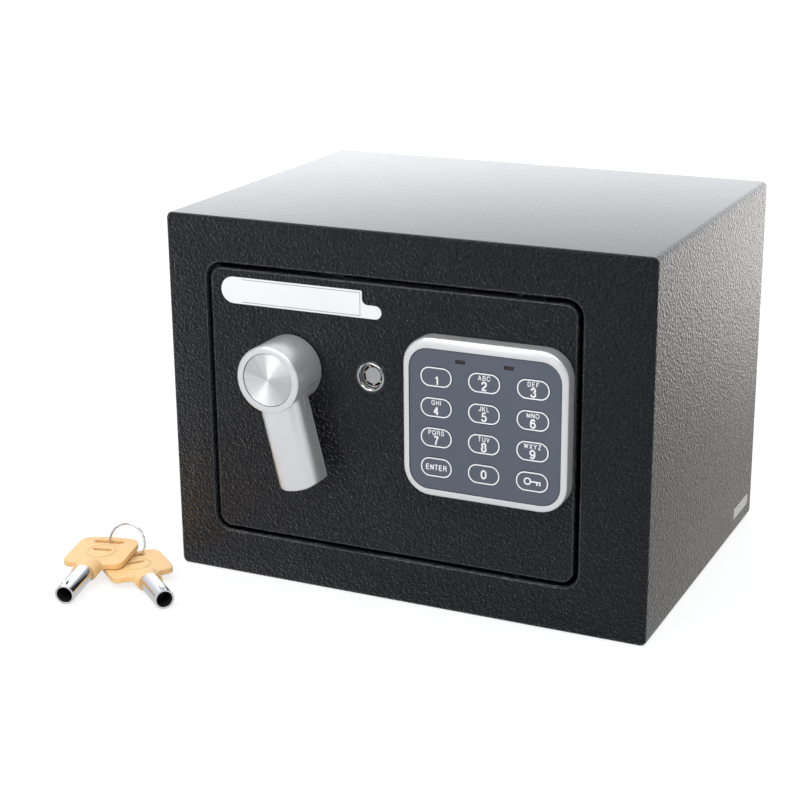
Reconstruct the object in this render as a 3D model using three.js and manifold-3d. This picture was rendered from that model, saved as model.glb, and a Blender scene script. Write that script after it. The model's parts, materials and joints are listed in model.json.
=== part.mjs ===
// A small electronic safe: a welded steel case, a hinged door with a turning handle,
// a keypad and an override lock, the bolt work behind the door, and two tubular keys.
// Millimetres, +Z up. The origin is the middle of the underside of the case, and the door
// faces -Y. The pieces stand as in the closed safe with its bolts drawn in.

import * as THREE from "three";
import { mergeVertices } from "three/addons/utils/BufferGeometryUtils.js";
import Module from "manifold-3d";

const wasm = await Module();
wasm.setup();

// Clearances
const SEAT = 0.3; // between pieces that rest on each other or are fixed together
const RUN = 0.4; // around a piece that slides or turns

// Case
const CASE_WIDTH = 230;
const CASE_DEPTH = 170;
const CASE_HEIGHT = 170;
const CASE_WALL = 2;
const CASE_CORNER = 2.6;
const CASE_FRONT_EDGE = 1;
const MARGIN_LEFT = 20;
const MARGIN_RIGHT = 31.3;
const MARGIN_ENDS = 21; // above and below the opening
const OPENING_CORNER = 7.5;
const OPENING_EDGE = 0.7; // bevel round the opening
const BACK_WALL = 2;
const ANCHOR_HOLE = 10;
const ANCHOR_PITCH = 120;
const MAT_THICKNESS = 3;

// Strike strip behind the left margin
const STRIKE_THICKNESS = 2;
const STRIKE_JOG = 1;
const STRIKE_REACH = 5; // how far it stands into the opening, as the door's stop

// Door
const DOOR_GAP = 2.1;
const DOOR_THICKNESS = 3;
const DOOR_CORNER = 5.5;
const DOOR_EDGE = 0.5; // bevel round the plate
const HINGE_INSET = 26.7; // from the door's right edge to the hinge line
const HINGE_PIN = 5;
const HINGE_PLATE = 2.5;
const HINGE_WIDTH = 16;
const HINGE_REACH = 9; // how far lugs and plates reach back past the hinge line
const HINGE_STACK = 6; // from the door's lug to the plate behind the frame
const LUG_FOOT = 5;

// Handle: the hub's place on the door, then its sizes
const HANDLE_IN = 40.1; // from the door's left edge
const HANDLE_DOWN = 42.3; // from the door's top edge
const HUB_RADIUS = 15.2;
const HUB_HEIGHT = 22.5;
const HUB_LIFT = 0.5;
const HUB_EDGE = 0.8;
const DISC_RADIUS = 11.85;
const DISC_THICKNESS = 1.4;
const DISC_DEPTH = 0.5; // how far the disc's rim lies behind the hub's front
const LEVER_CANT = 13.7; // degrees from straight down, as it rests
const LEVER_WIDTH = 20.1;
const LEVER_BACK = 7.7; // from the door's face
const LEVER_FRONT = 21.6;
const LEVER_CORNER = 6; // of the front's rounding into the flanks
const LEVER_FOOT = 1.5; // of the same at the back
const LEVER_LENGTH = 51.6;
const LEVER_END_RADIUS = 26.6;
const LEVER_LIP = 1; // of the bevel round its end
const COVER_SEAM = 9.6; // height of the rear cover on the lever
const COVER_HUB_SEAM = 13; // and on the hub
const COVER_START = 7.5; // where it starts, below the hub's axis
const COVER_END = 2.6; // from the lever's end
const SPINDLE = 10;
const SPINDLE_BLIND = 12;
const BUSH_WALL = 1.7;
const BUSH_FLANGE = 20;
const BUSH_THICKNESS = 2;

// Bolt work
const CRANK_RADIUS = 12;
const CRANK_SWING = 60; // degrees, half on either side of straight down
const CRANK_PIN = 4;
const CAM_THICKNESS = 3;
const CAM_HUB_RADIUS = 9;
const CAM_LOBE_RADIUS = 4.5;
const BOLT_DIAMETER = 16;
const BOLT_CHAMFER = 2;
const BOLT_STUD = 6;
const BOLT_LENGTH = 26;
const BOLT_FROM_ENDS = 23; // from the door's top and bottom edges
const BOLT_DEPTH = 12; // from the back of the door plate to the bolts' axes
const BOLT_SHOW = 1.5; // how far a drawn bolt stands out of the mechanism cover
const CARRIAGE_THICKNESS = 2;
const CARRIAGE_WIDTH = 28;
const CARRIAGE_TAB = 15;
const CARRIAGE_SETBACK = 20.6; // from the back of the door plate to the carriage
const ARM_HEIGHT = 8;
const SLOT_PLAY = 0.6; // each side of the crank pin
const GUIDE_THICKNESS = 2;
const GUIDE_FOOT = 10;
const GUIDE_INSET = 5.5; // from the mechanism cover's left face
const STUD_DIAMETER = 6;
const STUD_HEAD = 9;

// Mechanism cover on the back of the door
const COVER_WALL = 1.2;
const COVER_DEPTH = 30;
const COVER_INSET = 6.5; // from the door's left edge
const COVER_ENDS = 7.5; // from the door's top and bottom edges
const COVER_CORNER = 4;

// Override lock
const LOCK_FROM_HANDLE = 39.3;
const LOCK_RISE = 0.1;
const LOCK_RADIUS = 6.7;
const LOCK_LENGTH = 17;
const LOCK_PROUD = 0.7; // how far the barrel's rim stands out of the door
const LOCK_EDGE = 0.6; // rounding of the rim
const CORE_RADIUS = 5.35;
const CORE_RECESS = 2.3;
const KEYWAY_OUTER = 4.9;
const POST_RADIUS = 3.75;
const KEYWAY_DEPTH = 6;
const CORE_STUB = 3;
const NOTCH_WIDTH = 1.8;
const NUT_ACROSS_FLATS = 20;
const NUT_THICKNESS = 4;
const LOCK_CAM_THICKNESS = 2;
const LOCK_CAM_RADIUS = 7.5;
const LOCK_PIN_THROW = 4.5;
const LOCK_PIN = 2.4;

// Solenoid and its plunger
const PLUNGER_IN = 5.8; // how far its line lies to the left of the lock's axis
const PLUNGER = 6;
const PLUNGER_NECK = 4;
const PLUNGER_UNDER_ARM = 8; // from its tip down to the neck that holds the link
const LINK_THICKNESS = 1.2;
const LINK_WIDTH = 4.5;
const COIL_RADIUS = 6;
const BRACKET_WIDTH = 16;
const BRACKET_THICKNESS = 2;
const SOLENOID_FOOT = 5; // from the mechanism cover's bottom wall
const SPRING_WIRE = 0.7;
const SPRING_RADIUS = 3.9;
const SPRING_TURNS = 5;
const SPRING_LENGTH = 10;

// Keypad
const KEYPAD_WIDTH = 75.3;
const KEYPAD_HEIGHT = 71.2;
const KEYPAD_FROM_RIGHT = 0.9;
const KEYPAD_DOWN = 18.9;
const KEYPAD_DEPTH = 7.5;
const KEYPAD_CORNER = 12.5;
const KEYPAD_ROUND = 1; // of its front edge
const PANEL_WIDTH = 69.2;
const PANEL_HEIGHT = 63;
const PANEL_CORNER = 8.8;
const PANEL_THICKNESS = 1.5;
const PANEL_RECESS = 0.4;
const PANEL_DROP = 0.8; // of its middle below the bezel's
const KEY_WIDTH = 14.6;
const KEY_HEIGHT = 8.7;
const KEY_FLANGE = 1;
const KEY_FLANGE_THICKNESS = 0.6;
const KEY_TRAVEL = 0.5;
const KEY_PITCH_X = 22.1;
const KEY_PITCH_Z = 13.6;
const KEYS_DROP = 1.1; // of the middle of the key field below the panel's
const LED_WIDTH = 3.8;
const LED_HEIGHT = 1;
const LED_PITCH = 22.1;
const LED_DOWN = 4.3; // from the panel's top edge
const MAT_SHEET = 1;
const MAT_PAD = 0.4; // how far its pads stand towards the keys
const PAD_PLAY = 0.1; // left between pad and key when the key is pressed home
const BOARD_THICKNESS = 1.5;
const LEAD = 4;
const LEAD_BEND = 5;
const LEAD_FROM_RIGHT = 51; // from the door's right edge to the lead's hole
const LEAD_DROP = 8.2; // from the hole's axis down to the battery box

// Battery box and cells
const CELL_RADIUS = 7.1;
const CELL_LENGTH = 49.5;
const CELL_NUB_RADIUS = 2.7;
const CELL_NUB = 1;
const CELL_COUNT = 4;
const CELL_GAP = 0.4;
const BOX_WALL = 1.5;
const BOX_AFTER_SOLENOID = 8; // from the solenoid's bracket
const BOX_FROM_BOTTOM = 15; // from the door's bottom edge
const COVER_LIP = 1.5;
const THUMB_WIDTH = 16;
const THUMB_HEIGHT = 6;
const THUMB_DOWN = 6; // from the battery box's top edge

// Reset button
const RESET_RADIUS = 3.5;
const RESET_FLANGE = 1.4;
const RESET_SHOW = 1.5;
const RESET_IN = 7;
const RESET_DOWN = 14;

// Override keys, lying on the floor
const TUBE_RADIUS = 4.6;
const TUBE_BORE = 3.75;
const TUBE_LENGTH = 21.7;
const TUBE_BORE_DEPTH = 9;
const TUBE_LUG = 1;
const BOW_WIDTH = 29.5;
const BOW_THICKNESS = 2.5;
const BOW_START = 30; // from the tube's open end to the shoulders
const BOW_END = 59;
const BOSS_WIDTH = 12.4;
const BOSS_HEIGHT = 8.4;
const STEM_RADIUS = 2.8;
const STEM_LENGTH = 6;
const KEY_SLOT = 3.2;
const KEY_SLOT_LENGTH = 15;
const KEY_SLOT_FROM_END = 3.9;
const THIN_SLOT = 2.2;
const THIN_SLOT_LENGTH = 9.5;
const THIN_SLOT_FROM_END = 12.9;
const RING_RADIUS = 9.4;
const RING_WIRE = 1.1;

// Places worked out from the sizes above
const FRONT = -CASE_DEPTH / 2;
const BACK = CASE_DEPTH / 2;
const OPENING = {
  left: -CASE_WIDTH / 2 + MARGIN_LEFT,
  right: CASE_WIDTH / 2 - MARGIN_RIGHT,
  bottom: MARGIN_ENDS,
  top: CASE_HEIGHT - MARGIN_ENDS,
};
const DOOR = {
  left: OPENING.left + DOOR_GAP,
  right: OPENING.right - DOOR_GAP,
  bottom: OPENING.bottom + DOOR_GAP,
  top: OPENING.top - DOOR_GAP,
  back: FRONT + DOOR_THICKNESS,
};
const HINGE = {
  x: DOOR.right - HINGE_INSET,
  y: DOOR.back + HINGE_PIN / 2 + SEAT,
};
const HANDLE = { x: DOOR.left + HANDLE_IN, z: DOOR.top - HANDLE_DOWN };
const LOCK = { x: HANDLE.x + LOCK_FROM_HANDLE, z: HANDLE.z + LOCK_RISE };
const COVER = {
  left: DOOR.left + COVER_INSET,
  bottom: DOOR.bottom + COVER_ENDS,
  top: DOOR.top - COVER_ENDS,
  back: DOOR.back + COVER_DEPTH,
};
const BOLTS = {
  y: DOOR.back + BOLT_DEPTH,
  tip: COVER.left - BOLT_SHOW,
  heights: [DOOR.bottom + BOLT_FROM_ENDS, DOOR.top - BOLT_FROM_ENDS],
};
const CRANK_HALF = THREE.MathUtils.degToRad(CRANK_SWING / 2);
const THROW = 2 * CRANK_RADIUS * Math.sin(CRANK_HALF);
const CRANK = {
  x: HANDLE.x + CRANK_RADIUS * Math.sin(CRANK_HALF),
  z: HANDLE.z - CRANK_RADIUS * Math.cos(CRANK_HALF),
  lowest: HANDLE.z - CRANK_RADIUS,
};
const CARRIAGE = {
  left: BOLTS.tip + BOLT_LENGTH + SEAT,
  front: DOOR.back + CARRIAGE_SETBACK,
};
const PLUNGER_LINE = {
  x: LOCK.x - PLUNGER_IN,
  y: CARRIAGE.front + CARRIAGE_THICKNESS / 2,
};
const ARM = {
  right: PLUNGER_LINE.x - PLUNGER / 2 - SEAT + THROW,
  bottom: CRANK.lowest - ARM_HEIGHT,
};
const PLUNGER_TIP = ARM.bottom - SEAT;
const NECK = PLUNGER_TIP - PLUNGER_UNDER_ARM;
const SOLENOID_TOP = NECK - SPRING_LENGTH - 2 * SEAT;
const SOLENOID_BOTTOM = COVER.bottom + COVER_WALL + SOLENOID_FOOT;
const COIL_LENGTH = SOLENOID_TOP - SOLENOID_BOTTOM - 2 * BRACKET_THICKNESS - 2 * SEAT;
const CELL_PITCH = 2 * CELL_RADIUS + CELL_GAP;
const BOX = {
  left: PLUNGER_LINE.x + BRACKET_WIDTH / 2 + BOX_AFTER_SOLENOID,
  bottom: DOOR.bottom + BOX_FROM_BOTTOM,
  back: COVER.back - COVER_WALL - SEAT,
};
BOX.right = BOX.left + CELL_LENGTH + CELL_NUB + 2 * SEAT + 2 * BOX_WALL;
BOX.top = BOX.bottom + (CELL_COUNT - 1) * CELL_PITCH + 2 * (CELL_RADIUS + SEAT + BOX_WALL);
BOX.floor = BOX.back - 2 * CELL_RADIUS - SEAT;
COVER.right = BOX.right + SEAT + COVER_WALL;
const KEYPAD = {
  x: DOOR.right - KEYPAD_FROM_RIGHT - KEYPAD_WIDTH / 2,
  z: DOOR.top - KEYPAD_DOWN - KEYPAD_HEIGHT / 2,
};
const PANEL = { x: KEYPAD.x, z: KEYPAD.z - PANEL_DROP };
const PANEL_FRONT = FRONT - KEYPAD_DEPTH + PANEL_RECESS;
const PANEL_BACK = PANEL_FRONT + PANEL_THICKNESS;
const KEY_FRONT = PANEL_FRONT - 0.5 * SEAT;
const KEY_BACK = PANEL_BACK + SEAT + KEY_FLANGE_THICKNESS;
const MAT_FRONT = KEY_BACK + KEY_TRAVEL + PAD_PLAY + MAT_PAD;
const BOARD_BACK = FRONT - SEAT;
const LEAD_HOLE = { x: DOOR.right - LEAD_FROM_RIGHT, z: BOX.top + LEAD_DROP };

// Colours and finishes
const paint = (color, roughness, metalness) =>
  new THREE.MeshStandardMaterial({ color, roughness, metalness, flatShading: true });
const FINISH = {
  blackPaint: paint(0x1c1d20, 0.4, 0.2),
  zincSteel: paint(0xa9adb2, 0.4, 0.9),
  satinSilver: paint(0xc9cbce, 0.35, 0.8),
  spunMetal: paint(0xd8dadc, 0.3, 1),
  chrome: paint(0xd6d8dc, 0.12, 1),
  brass: paint(0xc9a24b, 0.3, 1),
  slatePlastic: paint(0x626876, 0.55, 0),
  blackPlastic: paint(0x202124, 0.6, 0),
  smokedPlastic: paint(0x3a3436, 0.3, 0),
  greenBoard: paint(0x1f6b3a, 0.6, 0),
  greyRubber: paint(0x8d9096, 0.8, 0),
  copperCoil: paint(0xa8552a, 0.5, 0.4),
  redPlastic: paint(0xb3261e, 0.4, 0),
  cellWrap: paint(0x2f5d8a, 0.4, 0.1),
  greyFelt: paint(0x5a5c60, 0.95, 0),
  creamPlastic: paint(0xf3e2a4, 0.5, 0),
};

// Outlines

const point = (x, y) => new THREE.Vector2(x, y);

// Points of an arc, both ends included; the angles are in degrees.
function arc(x, y, radius, from, to, steps) {
  const points = [];
  for (let i = 0; i <= steps; i++) {
    const angle = THREE.MathUtils.degToRad(from + ((to - from) * i) / steps);
    points.push(point(x + radius * Math.cos(angle), y + radius * Math.sin(angle)));
  }
  return points;
}

function circle(x, y, radius, steps = 20) {
  return arc(x, y, radius, 0, 360 - 360 / steps, steps - 1);
}

function box(x0, y0, x1, y1) {
  return [point(x0, y0), point(x1, y0), point(x1, y1), point(x0, y1)];
}

function roundedBox(x0, y0, x1, y1, radius, steps = 4) {
  return [
    ...arc(x1 - radius, y1 - radius, radius, 0, 90, steps),
    ...arc(x0 + radius, y1 - radius, radius, 90, 180, steps),
    ...arc(x0 + radius, y0 + radius, radius, 180, 270, steps),
    ...arc(x1 - radius, y0 + radius, radius, 270, 360, steps),
  ];
}

// A rounded box given by its middle and its size.
function centredBox(x, y, width, height, radius, steps) {
  const w = width / 2;
  const h = height / 2;
  return roundedBox(x - w, y - h, x + w, y + h, radius, steps);
}

function pill(x, y, width, height, steps = 3) {
  return centredBox(x, y, width, height, height / 2 - 0.001, steps);
}

// Solids

// The closed solid of a geometry, with shared corners merged and slivers left out.
function solid(geometry) {
  const plain = geometry.index ? geometry.toNonIndexed() : geometry.clone();
  plain.deleteAttribute("normal");
  plain.deleteAttribute("uv");
  const merged = mergeVertices(plain, 1e-4);
  const order = merged.index.array;
  const faces = [];
  for (let i = 0; i < order.length; i += 3) {
    const [a, b, c] = order.slice(i, i + 3);
    if (a !== b && b !== c && c !== a) faces.push(a, b, c);
  }
  const vertProperties = merged.attributes.position.array;
  const triVerts = new Uint32Array(faces);
  return new wasm.Manifold(new wasm.Mesh({ numProp: 3, vertProperties, triVerts }));
}

// An outline drawn in X and Y, raised from z0 to z1.
function slabZ(outline, z0, z1, holes = [], bevel = {}) {
  const shape = new THREE.Shape(outline);
  shape.holes = holes.map((hole) => new THREE.Path(hole));
  const options = { depth: z1 - z0, bevelEnabled: false, ...bevel };
  return solid(new THREE.ExtrudeGeometry(shape, options).translate(0, 0, z0));
}

// The options of a slab with a plain bevel beyond both its ends.
function bevelled(size, offset) {
  return {
    bevelEnabled: true,
    bevelThickness: size,
    bevelSize: size,
    bevelOffset: offset,
    bevelSegments: 1,
  };
}

// An outline drawn in X and Z, raised along Y from y0 to y1.
function slabY(outline, y0, y1, holes) {
  return slabZ(outline, -y1, -y0, holes).rotate([90, 0, 0]);
}

// An outline drawn in Y and Z, raised along X from x0 to x1.
function slabX(outline, x0, x1, holes) {
  return slabZ(outline, x0, x1, holes).rotate([90, 0, 90]);
}

// A profile of [radius, height] pairs, turned about the line through a point along an axis.
function turned(profile, axis, origin, steps = 20) {
  const points = profile.map(([radius, height]) => point(radius, height));
  const geometry = new THREE.LatheGeometry(points, steps);
  if (axis === "z") geometry.rotateX(Math.PI / 2);
  if (axis === "x") geometry.rotateZ(-Math.PI / 2);
  return solid(geometry.translate(origin.x, origin.y, origin.z));
}

const rod = (radius, from, to) => [[0, from], [radius, from], [radius, to], [0, to]];
const along = (x, y, z) => new THREE.Vector3(x, y, z);

function meshOf(name, shape, material) {
  const found = shape.getMesh();
  const geometry = new THREE.BufferGeometry();
  geometry.setAttribute("position", new THREE.BufferAttribute(found.vertProperties, 3));
  geometry.setIndex(new THREE.BufferAttribute(found.triVerts, 1));
  const mesh = new THREE.Mesh(geometry, material);
  mesh.name = name;
  return mesh;
}

const safe = new THREE.Group();

function add(name, shape, material) {
  safe.add(meshOf(name, shape, material));
}

// The case: a folded wrap with the front frame in one piece, closed by the back panel

function makeCase() {
  const halfWidth = CASE_WIDTH / 2;
  const outline = roundedBox(-halfWidth, 0, halfWidth, CASE_HEIGHT, CASE_CORNER, 3);
  const shape = new THREE.Shape(outline);
  const rounding = {
    depth: CASE_DEPTH,
    bevelThickness: CASE_FRONT_EDGE,
    bevelSize: CASE_FRONT_EDGE,
    bevelOffset: -CASE_FRONT_EDGE,
    bevelSegments: 3,
  };
  const block = new THREE.ExtrudeGeometry(shape, rounding);
  block.rotateX(Math.PI / 2).translate(0, BACK + CASE_FRONT_EDGE, 0);
  const inner = halfWidth - CASE_WALL;
  const innerCorner = CASE_CORNER - CASE_WALL;
  const hollow = roundedBox(
    -inner, CASE_WALL, inner, CASE_HEIGHT - CASE_WALL, innerCorner, 1,
  );
  const opening = roundedBox(
    OPENING.left, OPENING.bottom, OPENING.right, OPENING.top, OPENING_CORNER, 5,
  );
  let shell = solid(block);
  shell = shell.subtract(slabY(hollow, FRONT + CASE_WALL, BACK + CASE_DEPTH));
  shell = shell.subtract(slabY(opening, FRONT - CASE_WALL, FRONT + 2 * CASE_WALL));
  const openingEdge = slabZ(opening, -FRONT, CASE_WALL - FRONT, [], bevelled(OPENING_EDGE, 0));
  shell = shell.subtract(openingEdge.rotate([90, 0, 0]));
  const behind = box(-CASE_WIDTH, -CASE_HEIGHT, CASE_WIDTH, 2 * CASE_HEIGHT);
  shell = shell.subtract(slabY(behind, BACK, BACK + CASE_DEPTH));
  for (const side of [-1, 1]) {
    const hole = circle((side * ANCHOR_PITCH) / 2, 0, ANCHOR_HOLE / 2, 16);
    shell = shell.subtract(slabZ(hole, -CASE_WALL, 2 * CASE_WALL));
  }
  add("case_body", shell, FINISH.blackPaint);

  const panelInset = CASE_WALL + SEAT;
  const panel = roundedBox(
    -halfWidth + panelInset, panelInset,
    halfWidth - panelInset, CASE_HEIGHT - panelInset, 1, 1,
  );
  const holes = [-1, 1].map((side) =>
    circle((side * ANCHOR_PITCH) / 2, CASE_HEIGHT / 2, ANCHOR_HOLE / 2, 16),
  );
  add("back_panel", slabY(panel, BACK - BACK_WALL, BACK, holes), FINISH.blackPaint);

  const matInset = CASE_WALL + 1;
  const mat = roundedBox(
    -halfWidth + matInset, FRONT + matInset + STRIKE_THICKNESS,
    halfWidth - matInset, BACK - BACK_WALL - 1, 2, 1,
  );
  const matBottom = CASE_WALL + SEAT;
  add("floor_mat", slabZ(mat, matBottom, matBottom + MAT_THICKNESS), FINISH.greyFelt);
}

// The strike strip: its foot is welded behind the margin, and its jogged edge stops the door.
function makeStrike() {
  const foot = FRONT + CASE_WALL + SEAT;
  const edge = Math.max(foot + STRIKE_JOG, DOOR.back + SEAT);
  const wall = -CASE_WIDTH / 2 + CASE_WALL + SEAT;
  const bend = OPENING.left - 1;
  const profile = [
    point(wall, foot),
    point(bend - 1, foot),
    point(bend + 1, edge),
    point(OPENING.left + STRIKE_REACH, edge),
    point(OPENING.left + STRIKE_REACH, edge + STRIKE_THICKNESS),
    point(bend + 1 - 0.5, edge + STRIKE_THICKNESS),
    point(bend - 1 - 0.5, foot + STRIKE_THICKNESS),
    point(wall, foot + STRIKE_THICKNESS),
  ];
  add("strike_strip", slabZ(profile, DOOR.bottom, DOOR.top), FINISH.blackPaint);
}

// Hinge plates behind the frame, and the lugs with their pins on the back of the door.
function makeHinges() {
  const x0 = HINGE.x - HINGE_WIDTH / 2;
  const x1 = HINGE.x + HINGE_WIDTH / 2;
  const reach = HINGE.y + HINGE_REACH;
  const lugFront = DOOR.back + SEAT;
  for (const [name, end, way] of [["top", DOOR.top, 1], ["bottom", DOOR.bottom, -1]]) {
    const slab = (outline, from, to, holes) =>
      slabZ(outline, Math.min(from, to), Math.max(from, to), holes);
    const lugFace = end - way * (HINGE_PLATE - 0.5);
    const lugBack = lugFace - way * HINGE_PLATE;
    const lug = slab(roundedBox(x0, lugFront, x1, reach, 2, 2), lugBack, lugFace);
    const foot = box(x0, lugFront, x1, lugFront + HINGE_PLATE);
    const plate = lugFace + way * HINGE_STACK;
    const plateEnd = plate + way * HINGE_PLATE;
    const pinEnd = plateEnd + way * HINGE_PLATE;
    const pin = slab(circle(HINGE.x, HINGE.y, HINGE_PIN / 2, 16), lugBack, pinEnd);
    const body = lug.add(slab(foot, lugFace - way * LUG_FOOT, lugFace)).add(pin);
    add("hinge_lug_" + name, body, FINISH.blackPaint);
    const bore = circle(HINGE.x, HINGE.y, HINGE_PIN / 2 + RUN, 16);
    const outline = roundedBox(x0, FRONT + CASE_WALL + SEAT, x1, reach, 2, 2);
    add("frame_hinge_" + name, slab(outline, plate, plateEnd, [bore]), FINISH.blackPaint);
  }
}

function makeDoorPlate() {
  const outline = roundedBox(
    DOOR.left, DOOR.bottom, DOOR.right, DOOR.top, DOOR_CORNER, 5,
  );
  const holes = [
    circle(HANDLE.x, HANDLE.z, SPINDLE / 2 + RUN + BUSH_WALL + SEAT),
    circle(LOCK.x, LOCK.z, LOCK_RADIUS + SEAT, 24),
    circle(LEAD_HOLE.x, LEAD_HOLE.z, LEAD / 2 + 1, 12),
  ];
  const edge = bevelled(DOOR_EDGE, -DOOR_EDGE);
  let plate = slabZ(outline, DOOR_EDGE - DOOR.back, -FRONT - DOOR_EDGE, [], edge).rotate([90, 0, 0]);
  for (const hole of holes) {
    plate = plate.subtract(slabY(hole, FRONT - DOOR_THICKNESS, DOOR.back + DOOR_THICKNESS));
  }
  add("door_plate", plate, FINISH.blackPaint);
}

// The handle: hub and lever in one casting, its rear cover, the spun disc and the spindle

// Distances from the door's face count towards the viewer here, along the lever's length
// and across it.
function leverFrame() {
  const cant = THREE.MathUtils.degToRad(LEVER_CANT);
  const across = along(Math.cos(cant), 0, Math.sin(cant));
  const out = along(0, -1, 0);
  const down = along(Math.sin(cant), 0, -Math.cos(cant));
  const frame = new THREE.Matrix4().makeBasis(across, out, down);
  return frame.setPosition(HANDLE.x, FRONT, HANDLE.z);
}

const inLeverFrame = (shape) => shape.transform(leverFrame().elements);

// The lever's section, inset from its surface. Each entry is a line through it from back to
// front: how far across it lies, and where it starts and ends, counted from the door's face.
function leverSection(inset) {
  const half = LEVER_WIDTH / 2 - inset;
  const corner = LEVER_CORNER - inset;
  const foot = LEVER_FOOT - inset;
  const rightSide = arc(half - corner, 0, corner, 90, 0, 6).map((p) => p.x);
  const leftSide = rightSide.map((x) => -x).reverse();
  return [...leftSide, 0, ...rightSide].map((x) => {
    const intoCorner = Math.max(0, Math.abs(x) - half + corner);
    const intoFoot = Math.max(0, Math.abs(x) - half + foot);
    const rounding = corner - Math.sqrt(Math.max(0, corner ** 2 - intoCorner ** 2));
    const footRounding = foot - Math.sqrt(Math.max(0, foot ** 2 - intoFoot ** 2));
    return {
      x,
      back: LEVER_BACK + inset + footRounding,
      front: LEVER_FRONT - inset - rounding,
    };
  });
}

// The lever: sections joined lengthways, from the hub's axis to the bevel round its bowed end.
function leverSolid() {
  const endAt = (x) =>
    LEVER_LENGTH - LEVER_END_RADIUS + Math.sqrt(LEVER_END_RADIUS ** 2 - x ** 2);
  const ring = (inset, lengthAt) => {
    const lines = leverSection(inset);
    const back = lines.map((l) => along(l.x, l.back, lengthAt(l.x)));
    const front = lines.map((l) => along(l.x, l.front, lengthAt(l.x)));
    return [...back, ...front.reverse()];
  };
  const rings = [
    ring(0, () => 0),
    ring(0, (x) => endAt(x) - LEVER_LIP),
    ring(LEVER_LIP * 0.3, (x) => endAt(x) - LEVER_LIP * 0.3),
    ring(LEVER_LIP, endAt),
  ];
  const count = rings[0].length;
  const corners = rings.flat();
  const faces = [];
  for (let r = 0; r + 1 < rings.length; r++) {
    for (let i = 0; i < count; i++) {
      const next = (i + 1) % count;
      const here = r * count;
      const there = here + count;
      faces.push(here + i, here + next, there + next, here + i, there + next, there + i);
    }
  }
  const end = corners.length - count;
  for (let i = 0; i + 1 < count / 2; i++) {
    const across = count - 1 - i;
    faces.push(i, across, across - 1, i, across - 1, i + 1);
    faces.push(end + i, end + across - 1, end + across, end + i, end + i + 1, end + across - 1);
  }
  const geometry = new THREE.BufferGeometry().setFromPoints(corners);
  geometry.setIndex(faces);
  return solid(geometry);
}

function makeHandle() {
  const hubProfile = [
    [0, HUB_LIFT],
    [HUB_RADIUS, HUB_LIFT],
    ...arc(HUB_RADIUS - HUB_EDGE, HUB_HEIGHT - HUB_EDGE, HUB_EDGE, 0, 90, 3).map((p) => [p.x, p.y]),
    [0, HUB_HEIGHT],
  ];
  // The lathe's Y axis is the hub's axis, which points out of the door.
  const hub = turned(hubProfile, "y", along(0, 0, 0), 36);
  const body = hub.add(leverSolid());

  const coverSpace = (gap) => {
    const wide = HUB_RADIUS + LEVER_WIDTH;
    const onHub = slabZ(
      box(-wide, 0, wide, COVER_HUB_SEAM + gap), COVER_START - gap, HUB_RADIUS + gap,
    );
    const onLever = slabZ(
      box(-wide, 0, wide, COVER_SEAM + gap), HUB_RADIUS - 1, LEVER_LENGTH - COVER_END + gap,
    );
    const boss = turned(rod(SPINDLE / 2 + 3 - gap, 0, HUB_HEIGHT), "y", along(0, 0, 0), 24);
    return onHub.add(onLever).subtract(boss);
  };
  const bore = turned(rod(SPINDLE / 2 + SEAT, 0, SPINDLE_BLIND + SEAT), "y", along(0, 0, 0), 20);
  const discSeat = turned(
    rod(DISC_RADIUS + SEAT, HUB_HEIGHT - DISC_DEPTH - DISC_THICKNESS - SEAT, HUB_HEIGHT + 1),
    "y", along(0, 0, 0), 36,
  );
  const shell = body.subtract(coverSpace(SEAT)).subtract(bore).subtract(discSeat);
  add("handle_shell", inLeverFrame(shell), FINISH.satinSilver);
  add("handle_rear_cover", inLeverFrame(body.intersect(coverSpace(0))), FINISH.satinSilver);
  const discFront = HUB_HEIGHT - DISC_DEPTH;
  const disc = turned(rod(DISC_RADIUS, discFront - DISC_THICKNESS, discFront), "y", along(0, 0, 0), 36);
  add("handle_disc", inLeverFrame(disc), FINISH.spunMetal);
}

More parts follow.
